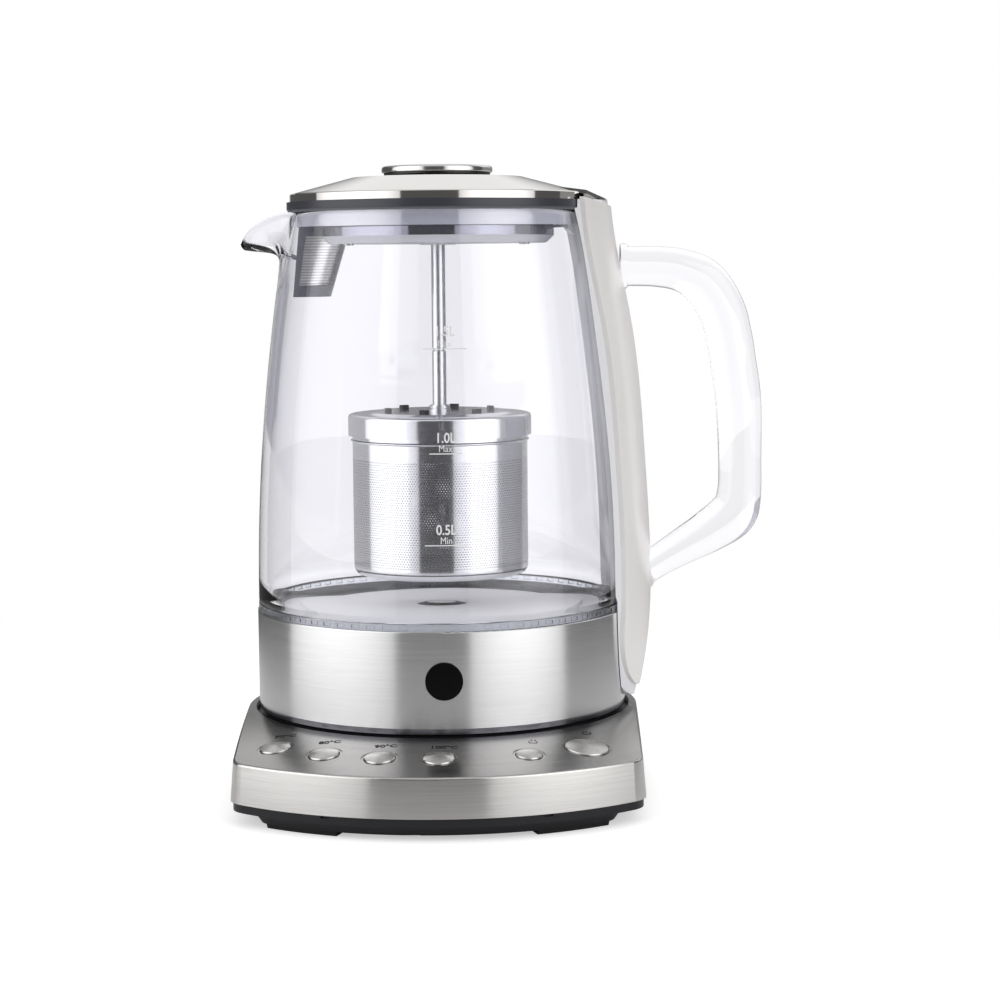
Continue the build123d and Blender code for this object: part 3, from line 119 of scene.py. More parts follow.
ONE_REFLECTION = 0.5
ONE_WALL_CROSSINGS = 1.5
CROSSINGS_SPREAD = 0.9


def mirrored_rays(tree, path):
    """1 for rays that left the object by a reflection, 0 for rays straight through glass.

    A ray that turned inside one glass wall has crossed glass once or twice and counts as
    straight, while a ray mirrored by metal behind glass has crossed it at least 3 times.
    """
    reflected = add(
        tree,
        "ShaderNodeMath",
        {1: ONE_REFLECTION},
        {0: path.outputs["Glossy Depth"]},
        operation="GREATER_THAN",
    )
    offset = add(
        tree,
        "ShaderNodeMath",
        {1: ONE_WALL_CROSSINGS},
        {0: path.outputs["Transmission Depth"]},
        operation="SUBTRACT",
    )
    size = add(tree, "ShaderNodeMath", links={0: offset.outputs[0]}, operation="ABSOLUTE")
    outside = add(
        tree,
        "ShaderNodeMath",
        {1: CROSSINGS_SPREAD},
        {0: size.outputs[0]},
        operation="GREATER_THAN",
    )
    both = add(
        tree,
        "ShaderNodeMath",
        links={0: reflected.outputs[0], 1: outside.outputs[0]},
        operation="MULTIPLY",
    )
    return both.outputs[0]


def seen_rays(tree, path, mirrored):
    """1 for rays that the camera sends, straight or through glass."""
    direct = add(tree, "ShaderNodeMath", {0: 1.0}, {1: mirrored}, operation="SUBTRACT")
    crossed = add(
        tree,
        "ShaderNodeMath",
        links={0: path.outputs["Is Transmission Ray"], 1: direct.outputs[0]},
        operation="MULTIPLY",
    )
    seen = add(
        tree,
        "ShaderNodeMath",
        links={0: path.outputs["Is Camera Ray"], 1: crossed.outputs[0]},
        operation="MAXIMUM",
    )
    return seen.outputs[0]


# The paper takes the object's shadow near it and fades to plain white farther out.
WHITE = (1, 1, 1, 1)
PAPER_WHITE = "#E4E4E4"
FLOOR_SIZE = 6.0
FLOOR_FADE = (0.22, 0.50)
FLOOR_LIFT = 0.50

floor_paper, tree = new_material("matt_white_paper")
coords = add(tree, "ShaderNodeTexCoord")
distance = add(
    tree, "ShaderNodeVectorMath", links={0: coords.outputs["Object"]}, operation="LENGTH"
)
fade = add(
    tree,
    "ShaderNodeMapRange",
    {"From Min": FLOOR_FADE[0], "From Max": FLOOR_FADE[1]},
    {"Value": distance.outputs["Value"]},
    interpolation_type="SMOOTHSTEP",
)
path = add(tree, "ShaderNodeLightPath")
mirrored = mirrored_rays(tree, path)
seen = seen_rays(tree, path, mirrored)
lift = add(tree, "ShaderNodeMath", {1: FLOOR_LIFT}, {0: seen}, operation="MULTIPLY")
paper = add(tree, "ShaderNodeBsdfDiffuse", {"Color": linear(PAPER_WHITE)})
raised = add(tree, "ShaderNodeEmission", {"Color": WHITE}, {"Strength": lift.outputs[0]})
near = add(tree, "ShaderNodeAddShader", links={0: paper.outputs[0], 1: raised.outputs[0]})
far = add(tree, "ShaderNodeEmission", {"Color": WHITE}, {"Strength": seen})
clear = add(tree, "ShaderNodeBsdfTransparent")
away = add(
    tree, "ShaderNodeMixShader", links={0: mirrored, 1: far.outputs[0], 2: clear.outputs[0]}
)
mixed = add(
    tree,
    "ShaderNodeMixShader",
    links={0: fade.outputs["Result"], 1: near.outputs[0], 2: away.outputs[0]},
)
add(tree, "ShaderNodeOutputMaterial", links={"Surface": mixed.outputs[0]})

bm = bmesh.new()
bmesh.ops.create_grid(bm, x_segments=4, y_segments=4, size=FLOOR_SIZE / 2)
floor = new_piece("floor", bm, floor_paper, None)

# Metal mirrors the backdrop darker near the floor: SHADE_GREY up to SHADE_FOOT, and white
# from SHADE_TOP.
BACKDROP_RADIUS = 1.9
BACKDROP_FOOT = 0.001
BACKDROP_TOP = 2.4
BACKDROP_START = 110.0
BACKDROP_END = 200.0
BACKDROP_STEPS = 48
SHADE_FOOT = 0.50
SHADE_TOP = 0.95
SHADE_GREY = 0.30
THROUGH_GLASS = 1.12

backdrop_paper, tree = new_material("white_backdrop")
path = add(tree, "ShaderNodeLightPath")
level = add(
    tree,
    "ShaderNodeMapRange",
    {"To Min": 1.0, "To Max": THROUGH_GLASS},
    {"Value": path.outputs["Is Transmission Ray"]},
)
coords = add(tree, "ShaderNodeTexCoord")
parts = add(tree, "ShaderNodeSeparateXYZ", links={0: coords.outputs["Object"]})
low = add(
    tree,
    "ShaderNodeMapRange",
    {
        "From Min": SHADE_FOOT,
        "From Max": SHADE_TOP,
        "To Min": SHADE_GREY,
        "To Max": 1.0,
    },
    {"Value": parts.outputs["Z"]},
)
strength = add(
    tree,
    "ShaderNodeMix",
    links={0: mirrored_rays(tree, path), 2: level.outputs[0], 3: low.outputs[0]},
)
glow = add(tree, "ShaderNodeEmission", {"Color": WHITE}, {"Strength": strength.outputs[0]})
add(tree, "ShaderNodeOutputMaterial", links={"Surface": glow.outputs[0]})


def studio_angle(azimuth):
    """Turn about Z of a direction that lies azimuth degrees to the right of the camera."""
    return math.radians(azimuth - 90.0)


bm = bmesh.new()
start = Matrix.Rotation(studio_angle(BACKDROP_START), 4, "Z")
low = bm.verts.new(start @ Vector((BACKDROP_RADIUS, 0, BACKDROP_FOOT)))
high = bm.verts.new(start @ Vector((BACKDROP_RADIUS, 0, BACKDROP_TOP)))
edge = bm.edges.new((low, high))
bmesh.ops.spin(
    bm,
    geom=[low, high, edge],
    cent=(0, 0, 0),
    axis=(0, 0, 1),
    angle=math.radians(BACKDROP_END - BACKDROP_START),
    steps=BACKDROP_STEPS,
)
backdrop = new_piece("backdrop", bm, backdrop_paper, None)

# Each box is brightest along its middle and falls to BOX_EDGE at its two sides.
BOX_HEIGHT = 0.35
BOX_TALL = 2.0
BOX_DISTANCE = 1.25
BOX_RADIANCE = 1.75
BOX_EDGE = 0.45


def soft_box(name, azimuth, width):
    """A rectangular lamp that faces the jug from an azimuth to the right of the camera."""
    data = bpy.data.lights.new(name, "AREA")
    data.shape = "RECTANGLE"
    data.size = width
    data.size_y = BOX_TALL
    data.energy = BOX_RADIANCE * math.pi * width * BOX_TALL
    data.use_nodes = True
    tree = data.node_tree
    face = add(tree, "ShaderNodeNewGeometry")
    parts = add(tree, "ShaderNodeSeparateXYZ", links={0: face.outputs["Parametric"]})
    offset = add(
        tree, "ShaderNodeMath", {1: 0.5}, {0: parts.outputs[0]}, operation="SUBTRACT"
    )
    square = add(
        tree,
        "ShaderNodeMath",
        links={0: offset.outputs[0], 1: offset.outputs[0]},
        operation="MULTIPLY",
    )
    level = add(
        tree,
        "ShaderNodeMapRange",
        {"From Max": 0.5**2, "To Min": 1.0, "To Max": BOX_EDGE},
        {"Value": square.outputs[0]},
    )
    tree.links.new(level.outputs[0], tree.nodes["Emission"].inputs["Strength"])
    lamp = bpy.data.objects.new(name, data)
    scene.collection.objects.link(lamp)
    turn = Matrix.Rotation(studio_angle(azimuth), 3, "Z")
    lamp.location = turn @ Vector((BOX_DISTANCE, 0, BOX_HEIGHT))
    aim = Vector((0, 0, BOX_HEIGHT)) - lamp.location
    lamp.rotation_euler = aim.to_track_quat("-Z", "Y").to_euler()


soft_box("left_box", -65, 2.00)
soft_box("right_box", 49, 1.53)

# The room round the boxes: dim at the horizon and pale overhead. Rays that cross more than
# one wall of glass meet a haze, except towards the dark gap in front.
HORIZON_GREY = 0.10
HORIZON_RISE = 0.32
ZENITH_GREY = 0.85
ZENITH_RISE = 0.95
GLASS_EDGE_GREY = (0.55, 0.55, 0.60, 1.0)
GLASS_HAZE = 0.40
HAZE_CROSSINGS = 2.5
FRONT_GAP = -0.75

world = bpy.data.worlds.new("studio")
scene.world = world
world.use_nodes = True
tree = world.node_tree
tree.nodes.clear()
coords = add(tree, "ShaderNodeTexCoord")
parts = add(tree, "ShaderNodeSeparateXYZ", links={0: coords.outputs["Generated"]})
above = add(
    tree,
    "ShaderNodeMapRange",
    {
        "From Min": HORIZON_RISE,
        "From Max": ZENITH_RISE,
        "To Min": HORIZON_GREY,
        "To Max": ZENITH_GREY,
    },
    {"Value": parts.outputs["Z"]},
)
path = add(tree, "ShaderNodeLightPath")
inside = add(
    tree,
    "ShaderNodeMath",
    {1: HAZE_CROSSINGS},
    {0: path.outputs["Transmission Depth"]},
    operation="GREATER_THAN",
)
aside = add(
    tree,
    "ShaderNodeMath",
    {1: FRONT_GAP},
    {0: parts.outputs["Y"]},
    operation="GREATER_THAN",
)
haze = add(
    tree,
    "ShaderNodeMath",
    links={0: inside.outputs[0], 1: aside.outputs[0]},
    operation="MULTIPLY",
)
hazy = add(
    tree,
    "ShaderNodeMath",
    {1: GLASS_HAZE},
    {0: haze.outputs[0], 2: above.outputs[0]},
    operation="MULTIPLY_ADD",
)
dim = add(tree, "ShaderNodeBackground", {"Color": WHITE}, {"Strength": hazy.outputs[0]})
bright = add(tree, "ShaderNodeBackground", {"Color": WHITE, "Strength": 1.0})
edge = add(tree, "ShaderNodeBackground", {"Color": GLASS_EDGE_GREY, "Strength": 1.0})
behind = add(
    tree,
    "ShaderNodeMixShader",
    links={
        0: seen_rays(tree, path, mirrored_rays(tree, path)),
        1: dim.outputs[0],
        2: edge.outputs[0],
    },
)
shown = add(
    tree,
    "ShaderNodeMixShader",
    links={0: path.outputs["Is Camera Ray"], 1: behind.outputs[0], 2: bright.outputs[0]},
)
add(tree, "ShaderNodeOutputWorld", links={"Surface": shown.outputs[0]})

# ------------------------------------------------------------------ power base
# A pressed stainless steel shell with a crowned deck, brushed around by an abrasive belt.
# The lines spread reflections across them and keep them sharp along them. Under it are a
# moulded tray with rubber feet, the jug's seat and connector, and the switch board.

EVEN = (1.0, 1.0, 1.0)
AROUND = (0.01, 0.01, 1.0)
AROUND_TURN = 0.25
LINE_CONTRAST = (0.3, 0.7)
LOOKS_UP = (0.6, 0.9)
LINE_DEPTH = 0.00001


def paint(material, *names):
    """Gives CAD nodes one material."""
    for name in names:
        mesh = nodes[name].data
        mesh.materials.clear()
        mesh.materials.append(material)


def brushed_steel(
    name, colour, roughness, lines, line_mm, streak=0.05, spread=0.0, metal=1.0, up_face_shade=1.0
):
    """Brushed stainless steel. lines squeezes the pattern along X, Y and Z.

    streak is the contrast of the lines and spread how far they smear a reflection. The last
    argument is a painted shade: it scales the colour of faces that look up, darker for a
    value below 1.
    """
    material, tree = new_material(name)
    coords = add(tree, "ShaderNodeTexCoord")
    drawn = add(
        tree,
        "ShaderNodeMapping",
        {"Scale": lines},
        {"Vector": coords.outputs["Object"]},
    )
    fine = add(
        tree,
        "ShaderNodeTexNoise",
        {"Scale": 1000.0 / line_mm, "Detail": 3.0, "Roughness": 0.6},
        {"Vector": drawn.outputs[0]},
    )
    tone = add(
        tree,
        "ShaderNodeMapRange",
        {
            "From Min": LINE_CONTRAST[0],
            "From Max": LINE_CONTRAST[1],
            "To Min": 1.0 - streak,
            "To Max": 1.0 + 0.5 * streak,
        },
        {"Value": fine.outputs["Fac"]},
    )
    # Painted shade: faces that look up have their colour scaled down by the last argument.
    facing = add(tree, "ShaderNodeNewGeometry")
    normal = add(tree, "ShaderNodeSeparateXYZ", links={0: facing.outputs["True Normal"]})
    painted_up_shade = add(
        tree,
        "ShaderNodeMapRange",
        {"From Min": LOOKS_UP[0], "From Max": LOOKS_UP[1], "To Min": 1.0, "To Max": up_face_shade},
        {"Value": normal.outputs[2]},
    )
    both = add(
        tree,
        "ShaderNodeMath",
        links={0: tone.outputs[0], 1: painted_up_shade.outputs[0]},
        operation="MULTIPLY",
    )
    tinted = add(
        tree,
        "ShaderNodeVectorMath",
        {0: linear(colour)[:3]},
        {"Scale": both.outputs[0]},
        operation="SCALE",
    )
    rough = add(
        tree,
        "ShaderNodeMapRange",
        {
            "From Min": LINE_CONTRAST[0],
            "From Max": LINE_CONTRAST[1],
            "To Min": roughness * 0.9,
            "To Max": roughness * 1.1,
        },
        {"Value": fine.outputs["Fac"]},
    )
    bump = add(
        tree,
        "ShaderNodeBump",
        {"Strength": min(1.0, 1.5 * streak), "Distance": LINE_DEPTH},
        {"Height": fine.outputs["Fac"]},
    )
    around = add(tree, "ShaderNodeTangent", direction_type="RADIAL", axis="Z")
    shader = add(
        tree,
        "ShaderNodeBsdfPrincipled",
        {
            "Metallic": metal,
            "Anisotropic": spread,
            "Anisotropic Rotation": AROUND_TURN if spread else 0.0,
        },
        {
            "Base Color": tinted.outputs[0],
            "Roughness": rough.outputs[0],
            "Normal": bump.outputs[0],
            "Tangent": around.outputs[0],
        },
    )
    add(tree, "ShaderNodeOutputMaterial", links={"Surface": shader.outputs[0]})
    return material


base_steel = brushed_steel(
    "brushed_stainless_base",
    "#CFCDCB",
    roughness=0.20,
    lines=AROUND,
    line_mm=0.35,
    streak=0.09,
    spread=0.7,
    # The deck, which looks up, is painted 40 % darker as a painted shade.
    up_face_shade=0.60,
)
paint(base_steel, "base_top_shell")

GRAIN_DEPTH = 0.00005


def moulded_plastic(name, colour, roughness, grain_mm=0.5, grain=0.15, gloss=0.5):
    """Moulded plastic with a spark-eroded grain, which scatters its gloss."""
    material, tree = new_material(name)
    coords = add(tree, "ShaderNodeTexCoord")
    texture = add(
        tree,
        "ShaderNodeTexNoise",
        {"Scale": 1000.0 / grain_mm, "Detail": 2.0},
        {"Vector": coords.outputs["Object"]},
    )
    bump = add(
        tree,
        "ShaderNodeBump",
        {"Strength": grain, "Distance": GRAIN_DEPTH},
        {"Height": texture.outputs["Fac"]},
    )
    rough = add(
        tree,
        "ShaderNodeMapRange",
        {"To Min": roughness * 0.85, "To Max": roughness * 1.15},
        {"Value": texture.outputs["Fac"]},
    )
    shader = add(
        tree,
        "ShaderNodeBsdfPrincipled",
        {"Base Color": linear(colour), "Specular IOR Level": gloss},
        {"Roughness": rough.outputs[0], "Normal": bump.outputs[0]},
    )
    add(tree, "ShaderNodeOutputMaterial", links={"Surface": shader.outputs[0]})
    return material


tray_plastic = moulded_plastic("grained_charcoal_abs", "#1B1B1F", 0.36, gloss=0.35)
foot_rubber = moulded_plastic("black_foot_rubber", "#1C1C1E", 0.75)
black_plastic = moulded_plastic("black_moulded_pa", "#141416", 0.35)
paint(tray_plastic, "base_lower_tray")
paint(foot_rubber, "base_feet")
paint(black_plastic, "jug_seat", "base_connector", "connector_washer", "button_switches")

plated_steel = brushed_steel(
    "zinc_plated_screw_steel", "#A9A9A6", roughness=0.3, lines=EVEN, line_mm=1.0
)
paint(plated_steel, "base_screws", "jug_base_screws", "lid_screws", "detent_ring")

board_lacquer = moulded_plastic("green_board_lacquer", "#1E5A38", 0.3)
paint(board_lacquer, "switch_board")

# ------------------------------------------------------------------ push buttons
# Six domed caps turned from stainless bar, each in a polished bezel pressed in the deck.
# The turning lines run round each cap and give it a bow-shaped highlight.

button_steel = brushed_steel(
    "turned_button_steel",
    "#CFCDCA",
    roughness=0.30,
    lines=EVEN,
    line_mm=0.8,
    streak=0.03,
    spread=0.9,
)
bezel_chrome = brushed_steel(
    "polished_bezel_chrome",
    "#A2A1A0",
    roughness=0.12,
    lines=EVEN,
    line_mm=1.0,
    streak=0.02,
)
paint(
    button_steel,
    "button_70",
    "button_80",
    "button_90",
    "button_100",
    "button_keep_warm",
    "button_power",
)
paint(bezel_chrome, "button_bezels")

# ------------------------------------------------------------------ deck labels
# Temperatures and two symbols, laser-marked dark grey on the crowned deck. The marks follow
# its crown, which is an arc turned round the jug's axis.

DECK_Z = 0.0297
CROWN_RADIUS = 0.272
CROWN_START = 0.0750
CROWN_TILT = math.radians(5.0)
CROWN_CENTRE = CROWN_START - CROWN_RADIUS * math.sin(CROWN_TILT)
LABEL_LIFT = 0.00006
LABEL_TALL = 0.0040
LABEL_BOLD = 0.0001


def on_deck(x, y):
    """Point just above the crowned deck."""
    across = math.hypot(x, y) - CROWN_CENTRE
    height = DECK_Z - CROWN_RADIUS * math.cos(CROWN_TILT)
    return (x, y, height + math.sqrt(CROWN_RADIUS**2 - across**2) + LABEL_LIFT)


def printed(name, text, tall, place, wrap, ink, body, narrow=1.0, bold=0.0):
    """Flat text laid on a surface: wrap gives the surface point for two flat coordinates.

    The outline is filled at a height of 1 and then reduced. bold widens the strokes, and
    some widths leave a letter half filled.
    """
    curve = bpy.data.curves.new(name + "_text", "FONT")
    curve.body = text
    curve.size = 1.0
    curve.offset = bold / tall
    curve.align_x = "CENTER"
    curve.align_y = "CENTER"
    holder = bpy.data.objects.new(name + "_text", curve)
    bm = bmesh.new()
    bm.from_mesh(holder.to_mesh())
    holder.to_mesh_clear()
    bpy.data.objects.remove(holder)
    for vert in bm.verts:
        vert.co = wrap(narrow * tall * vert.co.x + place[0], tall * vert.co.y + place[1])
    return new_piece(name, bm, ink, body)


label_ink = moulded_plastic("laser_marked_grey", "#242322", 0.6, gloss=0.1)
for text, x, y in (
    ("70°C", -0.0580, -0.0631),
    ("80°C", -0.0403, -0.0752),
    ("90°C", -0.0191, -0.0832),
    ("100°C", 0.0024, -0.0857),
):
    printed(
        "label_" + text.split("°")[0],
        text,
        LABEL_TALL,
        (x, y),
        on_deck,
        label_ink,
        "base",
        bold=LABEL_BOLD,
    )


def deck_symbol(name, strokes, place, width):
    """Strokes of points laid on the deck as narrow bands of one width."""
    bm = bmesh.new()
    for stroke in strokes:
        left, right = [], []
        for i, (u, v) in enumerate(stroke):
            before = stroke[max(i - 1, 0)]
            after = stroke[min(i + 1, len(stroke) - 1)]
            along = Vector((after[0] - before[0], after[1] - before[1])).normalized()
            across = Vector((-along.y, along.x)) * width / 2
            for side, row in ((1, left), (-1, right)):
                x = place[0] + u + side * across.x
                y = place[1] + v + side * across.y
                row.append(bm.verts.new(on_deck(x, y)))
        for i in range(len(stroke) - 1):
            bm.faces.new((left[i], right[i], right[i + 1], left[i + 1]))
    bmesh.ops.recalc_face_normals(bm, faces=bm.faces)
    return new_piece(name, bm, label_ink, "base")


def arc(radius, start, end, steps):
    """Points on an arc about the origin, angles in degrees."""
    turns = [math.radians(start + (end - start) * i / steps) for i in range(steps + 1)]
    return [(radius * math.cos(t), radius * math.sin(t)) for t in turns]


# An open ring with a bar in its gap, and a cup under two wisps of steam.
ring = arc(0.0016, 125, 415, 24)
bar = [(0, 0.0003), (0, 0.0024)]
deck_symbol("symbol_power", [ring, bar], place=(0.0556, -0.0631), width=0.0006)
cup = [(-0.0016, 0.0006), (-0.0012, -0.0014), (0.0012, -0.0014), (0.0016, 0.0006)]
steam = [[(x, 0.0012), (x + 0.0003, 0.0018), (x, 0.0025)] for x in (-0.0007, 0.0007)]
deck_symbol("symbol_keep_warm", [cup, *steam], place=(0.0352, -0.0777), width=0.0004)

# ------------------------------------------------------------------ jug base
# A brushed steel collar on a dark moulded base, with a glossy grey trim ring at its foot
# and a ribbed clear ring on top. A plain black disc is bonded to its front.

collar_steel = brushed_steel(
    "brushed_stainless_collar",
    "#D9D9DA",
    roughness=0.24,
    lines=AROUND,
    line_mm=0.3,
    streak=0.06,
    spread=0.8,
)
trim_plastic = moulded_plastic(
    "glossy_grey_trim_abs", "#303136", roughness=0.16, grain_mm=2.0, grain=0.02
)
trim_chrome = brushed_steel(
    "smoked_chrome_trim",
    "#74747A",
    roughness=0.14,
    lines=EVEN,
    line_mm=2.0,
    streak=0.01,
)
paint(collar_steel, "collar_shell")
paint(trim_plastic, "jug_base_cover", "jug_connector")
paint(trim_chrome, "collar_trim_ring")

# The disc is bent to the collar, with rings of faces that follow the bend.
COLLAR_RADIUS = 0.0736
DISC_RADIUS = 0.0071
DISC_THICK = 0.0006
DISC_SINK = 0.00005
DISC_PLACE = (0.0024, 0.0508)
DISC_RINGS = (0.0003, 0.0015, 0.0018, 0.0018)
disc_black = moulded_plastic(
    "glossy_black_disc", "#030303", roughness=0.2, grain_mm=3.0, grain=0.02, gloss=0.15
)
bm = bmesh.new()
bmesh.ops.create_circle(bm, cap_ends=True, segments=64, radius=DISC_RADIUS)
for inset in DISC_RINGS:
    middle = max(bm.faces, key=lambda face: len(face.verts))
    bmesh.ops.inset_individual(bm, faces=[middle], thickness=inset, depth=0)
bmesh.ops.solidify(bm, geom=list(bm.faces), thickness=DISC_THICK)
for vert in bm.verts:
    u = vert.co.x + DISC_PLACE[0]
    v = vert.co.y + DISC_PLACE[1]
    raised = DISC_THICK if vert.co.z > -DISC_THICK / 2 else 0.0
    out = COLLAR_RADIUS - DISC_SINK + raised
    vert.co = (u, -math.sqrt(out**2 - u**2), v)
bmesh.ops.recalc_face_normals(bm, faces=bm.faces)
new_piece("plain_disc", bm, disc_black, "jug")

# ------------------------------------------------------------------ jug floor
# A spun steel plate in a gutter, sealed to the glass with a silicone ring, with a cast
# heating element and its thermostat underneath.

plate_steel = brushed_steel(
    "satin_plate_steel",
    "#FDFDFE",
    roughness=0.35,
    lines=EVEN,
    line_mm=4.0,
    streak=0.0,
    metal=0.1,
)

# The sensor cap has a pale flat top, and its shoulder is painted dark polished metal as
# painted shade round the raised cap.
SENSOR_TOP_RADIUS = 0.0056
SENSOR_TOP_BLEND = 0.0004
sensor_steel, tree = new_material("sensor_steel_painted_shade")
coords = add(tree, "ShaderNodeTexCoord")
level = add(
    tree,
    "ShaderNodeVectorMath",
    {1: (1, 1, 0)},
    {0: coords.outputs["Object"]},
    operation="MULTIPLY",
)
reach = add(tree, "ShaderNodeVectorMath", links={0: level.outputs[0]}, operation="LENGTH")
top = add(
    tree,
    "ShaderNodeMapRange",
    {"From Min": SENSOR_TOP_RADIUS, "From Max": SENSOR_TOP_RADIUS + SENSOR_TOP_BLEND},
    {"Value": reach.outputs["Value"]},
)
pale = add(
    tree, "ShaderNodeBsdfPrincipled", {"Base Color": linear("#F4F4F6"), "Roughness": 0.3}
)
# Painted shade: the shoulder's dark metal colour stands for the shade on the cap's side.
shoulder_painted_shade = add(
    tree,
    "ShaderNodeBsdfPrincipled",
    {"Base Color": linear("#4A494B"), "Metallic": 1.0, "Roughness": 0.1},
)
both = add(
    tree,
    "ShaderNodeMixShader",
    links={0: top.outputs[0], 1: pale.outputs[0], 2: shoulder_painted_shade.outputs[0]},
)
add(tree, "ShaderNodeOutputMaterial", links={"Surface": both.outputs[0]})

seal_rubber = moulded_plastic("grey_silicone_seal", "#6C6E74", 0.5)
cast_aluminium = brushed_steel(
    "cast_aluminium_heater", "#A8A8A8", roughness=0.5, lines=EVEN, line_mm=1.5
)
paint(plate_steel, "heating_plate")
paint(sensor_steel, "sensor_cap")
paint(seal_rubber, "plate_seal")
paint(cast_aluminium, "heating_element")
paint(black_plastic, "thermostat_control")

# ------------------------------------------------------------------ glass jug
# Mould-blown borosilicate glass, 3.2 mm thick, with a fire-polished rim and a drawn
# spout. Its edges look blue-grey, because light runs a long way inside them there.

GLASS_IOR = 1.474
RIPPLE_SCALE = 26.0
RIPPLE_DEPTH = 0.0006
GLASS_FOOT_RADIUS = 0.0731
GLASS_MOUTH_RADIUS = 0.0591
GLASS_FOOT_Z = 0.0752
GLASS_HEIGHT = 0.1506
GLASS_CURVE = 1.9
GLASS_WALL = 0.0032
SOCKET_RADIUS = 0.0707
GLASS_SEAT_Z = 0.0600
RING_TOP_Z = 0.0720
RIM_Z = 0.2258
GLASS_STEPS = 288


def clear_glass(name, tint, roughness=0.0, ripple=0.12):
    """Clear glass with a faint ripple. Lamp light passes to what stands behind it."""
    material, tree = new_material(name)
    coords = add(tree, "ShaderNodeTexCoord")
    waves = add(
        tree,
        "ShaderNodeTexNoise",
        {"Scale": RIPPLE_SCALE, "Detail": 1.0},
        {"Vector": coords.outputs["Object"]},
    )
    bump = add(
        tree,
        "ShaderNodeBump",
        {"Strength": ripple, "Distance": RIPPLE_DEPTH},
        {"Height": waves.outputs["Fac"]},
    )
    shader = add(
        tree,
        "ShaderNodeBsdfPrincipled",
        {
            "Base Color": linear(tint),
            "Roughness": roughness,
            "IOR": GLASS_IOR,
            "Transmission Weight": 1.0,
        },
        {"Normal": bump.outputs[0]},
    )
    path = add(tree, "ShaderNodeLightPath")
    through = add(tree, "ShaderNodeBsdfTransparent")
    mixed = add(
        tree,
        "ShaderNodeMixShader",
        links={
            0: path.outputs["Is Shadow Ray"],
            1: shader.outputs[0],
            2: through.outputs[0],
        },
    )
    add(tree, "ShaderNodeOutputMaterial", links={"Surface": mixed.outputs[0]})
    return material


def glass_radius(z):
    """Outer radius of the glass at a height: upright at the foot, drawn in to the mouth."""
    share = max(0.0, (z - GLASS_FOOT_Z) / GLASS_HEIGHT)
    return GLASS_FOOT_RADIUS - (GLASS_FOOT_RADIUS - GLASS_MOUTH_RADIUS) * share**GLASS_CURVE


def spun(profile, steps):
    """A bmesh turned about the jug's axis from a closed profile of (x, z) points."""
    bm = bmesh.new()
    verts = [bm.verts.new((x, 0, z)) for x, z in profile]
    edges = [bm.edges.new(pair) for pair in zip(verts, verts[1:] + verts[:1])]
    bmesh.ops.spin(
        bm,
        geom=verts + edges,
        cent=(0, 0, 0),
        axis=(0, 0, 1),
        angle=math.tau,
        steps=steps,
        use_merge=True,
    )
    bmesh.ops.remove_doubles(bm, verts=bm.verts, dist=1e-6)
    bmesh.ops.recalc_face_normals(bm, faces=bm.faces)
    return bm


SPOUT_ROOT_Z = 0.2062
SPOUT_HALF_ANGLE = math.radians(21.0)
SIDE_TOP_Z = RIM_Z - 0.0016
WALL_STEPS = 20
SPOUT_STEPS = 18

rise = SPOUT_ROOT_Z - GLASS_FOOT_Z
heights = [GLASS_FOOT_Z + rise * step / WALL_STEPS for step in range(WALL_STEPS)]
rise = SIDE_TOP_Z - SPOUT_ROOT_Z
heights += [SPOUT_ROOT_Z + rise * step / SPOUT_STEPS for step in range(SPOUT_STEPS + 1)]
# The profile runs up the outside, over the fire-polished rim and down the inside.
side = [(glass_radius(z), z) for z in heights]
rim_bead = [
    (GLASS_MOUTH_RADIUS - 0.0002, RIM_Z - 0.0009),
    (GLASS_MOUTH_RADIUS - 0.0008, RIM_Z - 0.0003),
    (GLASS_MOUTH_RADIUS - 0.0016, RIM_Z),
    (GLASS_MOUTH_RADIUS - 0.0024, RIM_Z - 0.0003),
    (GLASS_MOUTH_RADIUS - 0.0030, RIM_Z - 0.0009),
]
profile = (
    [
        (SOCKET_RADIUS, GLASS_SEAT_Z),
        (SOCKET_RADIUS, RING_TOP_Z + 0.0001),
        (GLASS_FOOT_RADIUS - 0.0012, RING_TOP_Z + 0.0001),
        (GLASS_FOOT_RADIUS - 0.0003, RING_TOP_Z + 0.0005),
        (GLASS_FOOT_RADIUS, RING_TOP_Z + 0.0014),
    ]
    + side
    + rim_bead
    + [(x - GLASS_WALL, z) for x, z in reversed(side)]
    + [
        (SOCKET_RADIUS - GLASS_WALL + 0.0012, GLASS_FOOT_Z - 0.0030),
        (SOCKET_RADIUS - GLASS_WALL, GLASS_FOOT_Z - 0.0060),
        (SOCKET_RADIUS - GLASS_WALL, GLASS_SEAT_Z),
    ]
)
bm = spun(profile, GLASS_STEPS)

# The spout is drawn out of the soft wall. Its middle line follows a curve that runs out and
# levels off, and the wall keeps its thickness.
SPOUT_LINE = (
    (0.0627, SPOUT_ROOT_Z),
    (0.0629, 0.2112),
    (0.0675, 0.2100),
    (0.0766, 0.2114),
)
SPOUT_CURL = 0.28
SPOUT_DROOP = 1.8
LIP_DROOP = 10
PROBE_STEP = 1e-4
PROBE_TURN = 0.002


def ease(share):
    """0 to 1 with a soft start and end."""
    share = min(max(share, 0.0), 1.0)
    return share * share * (3.0 - 2.0 * share)


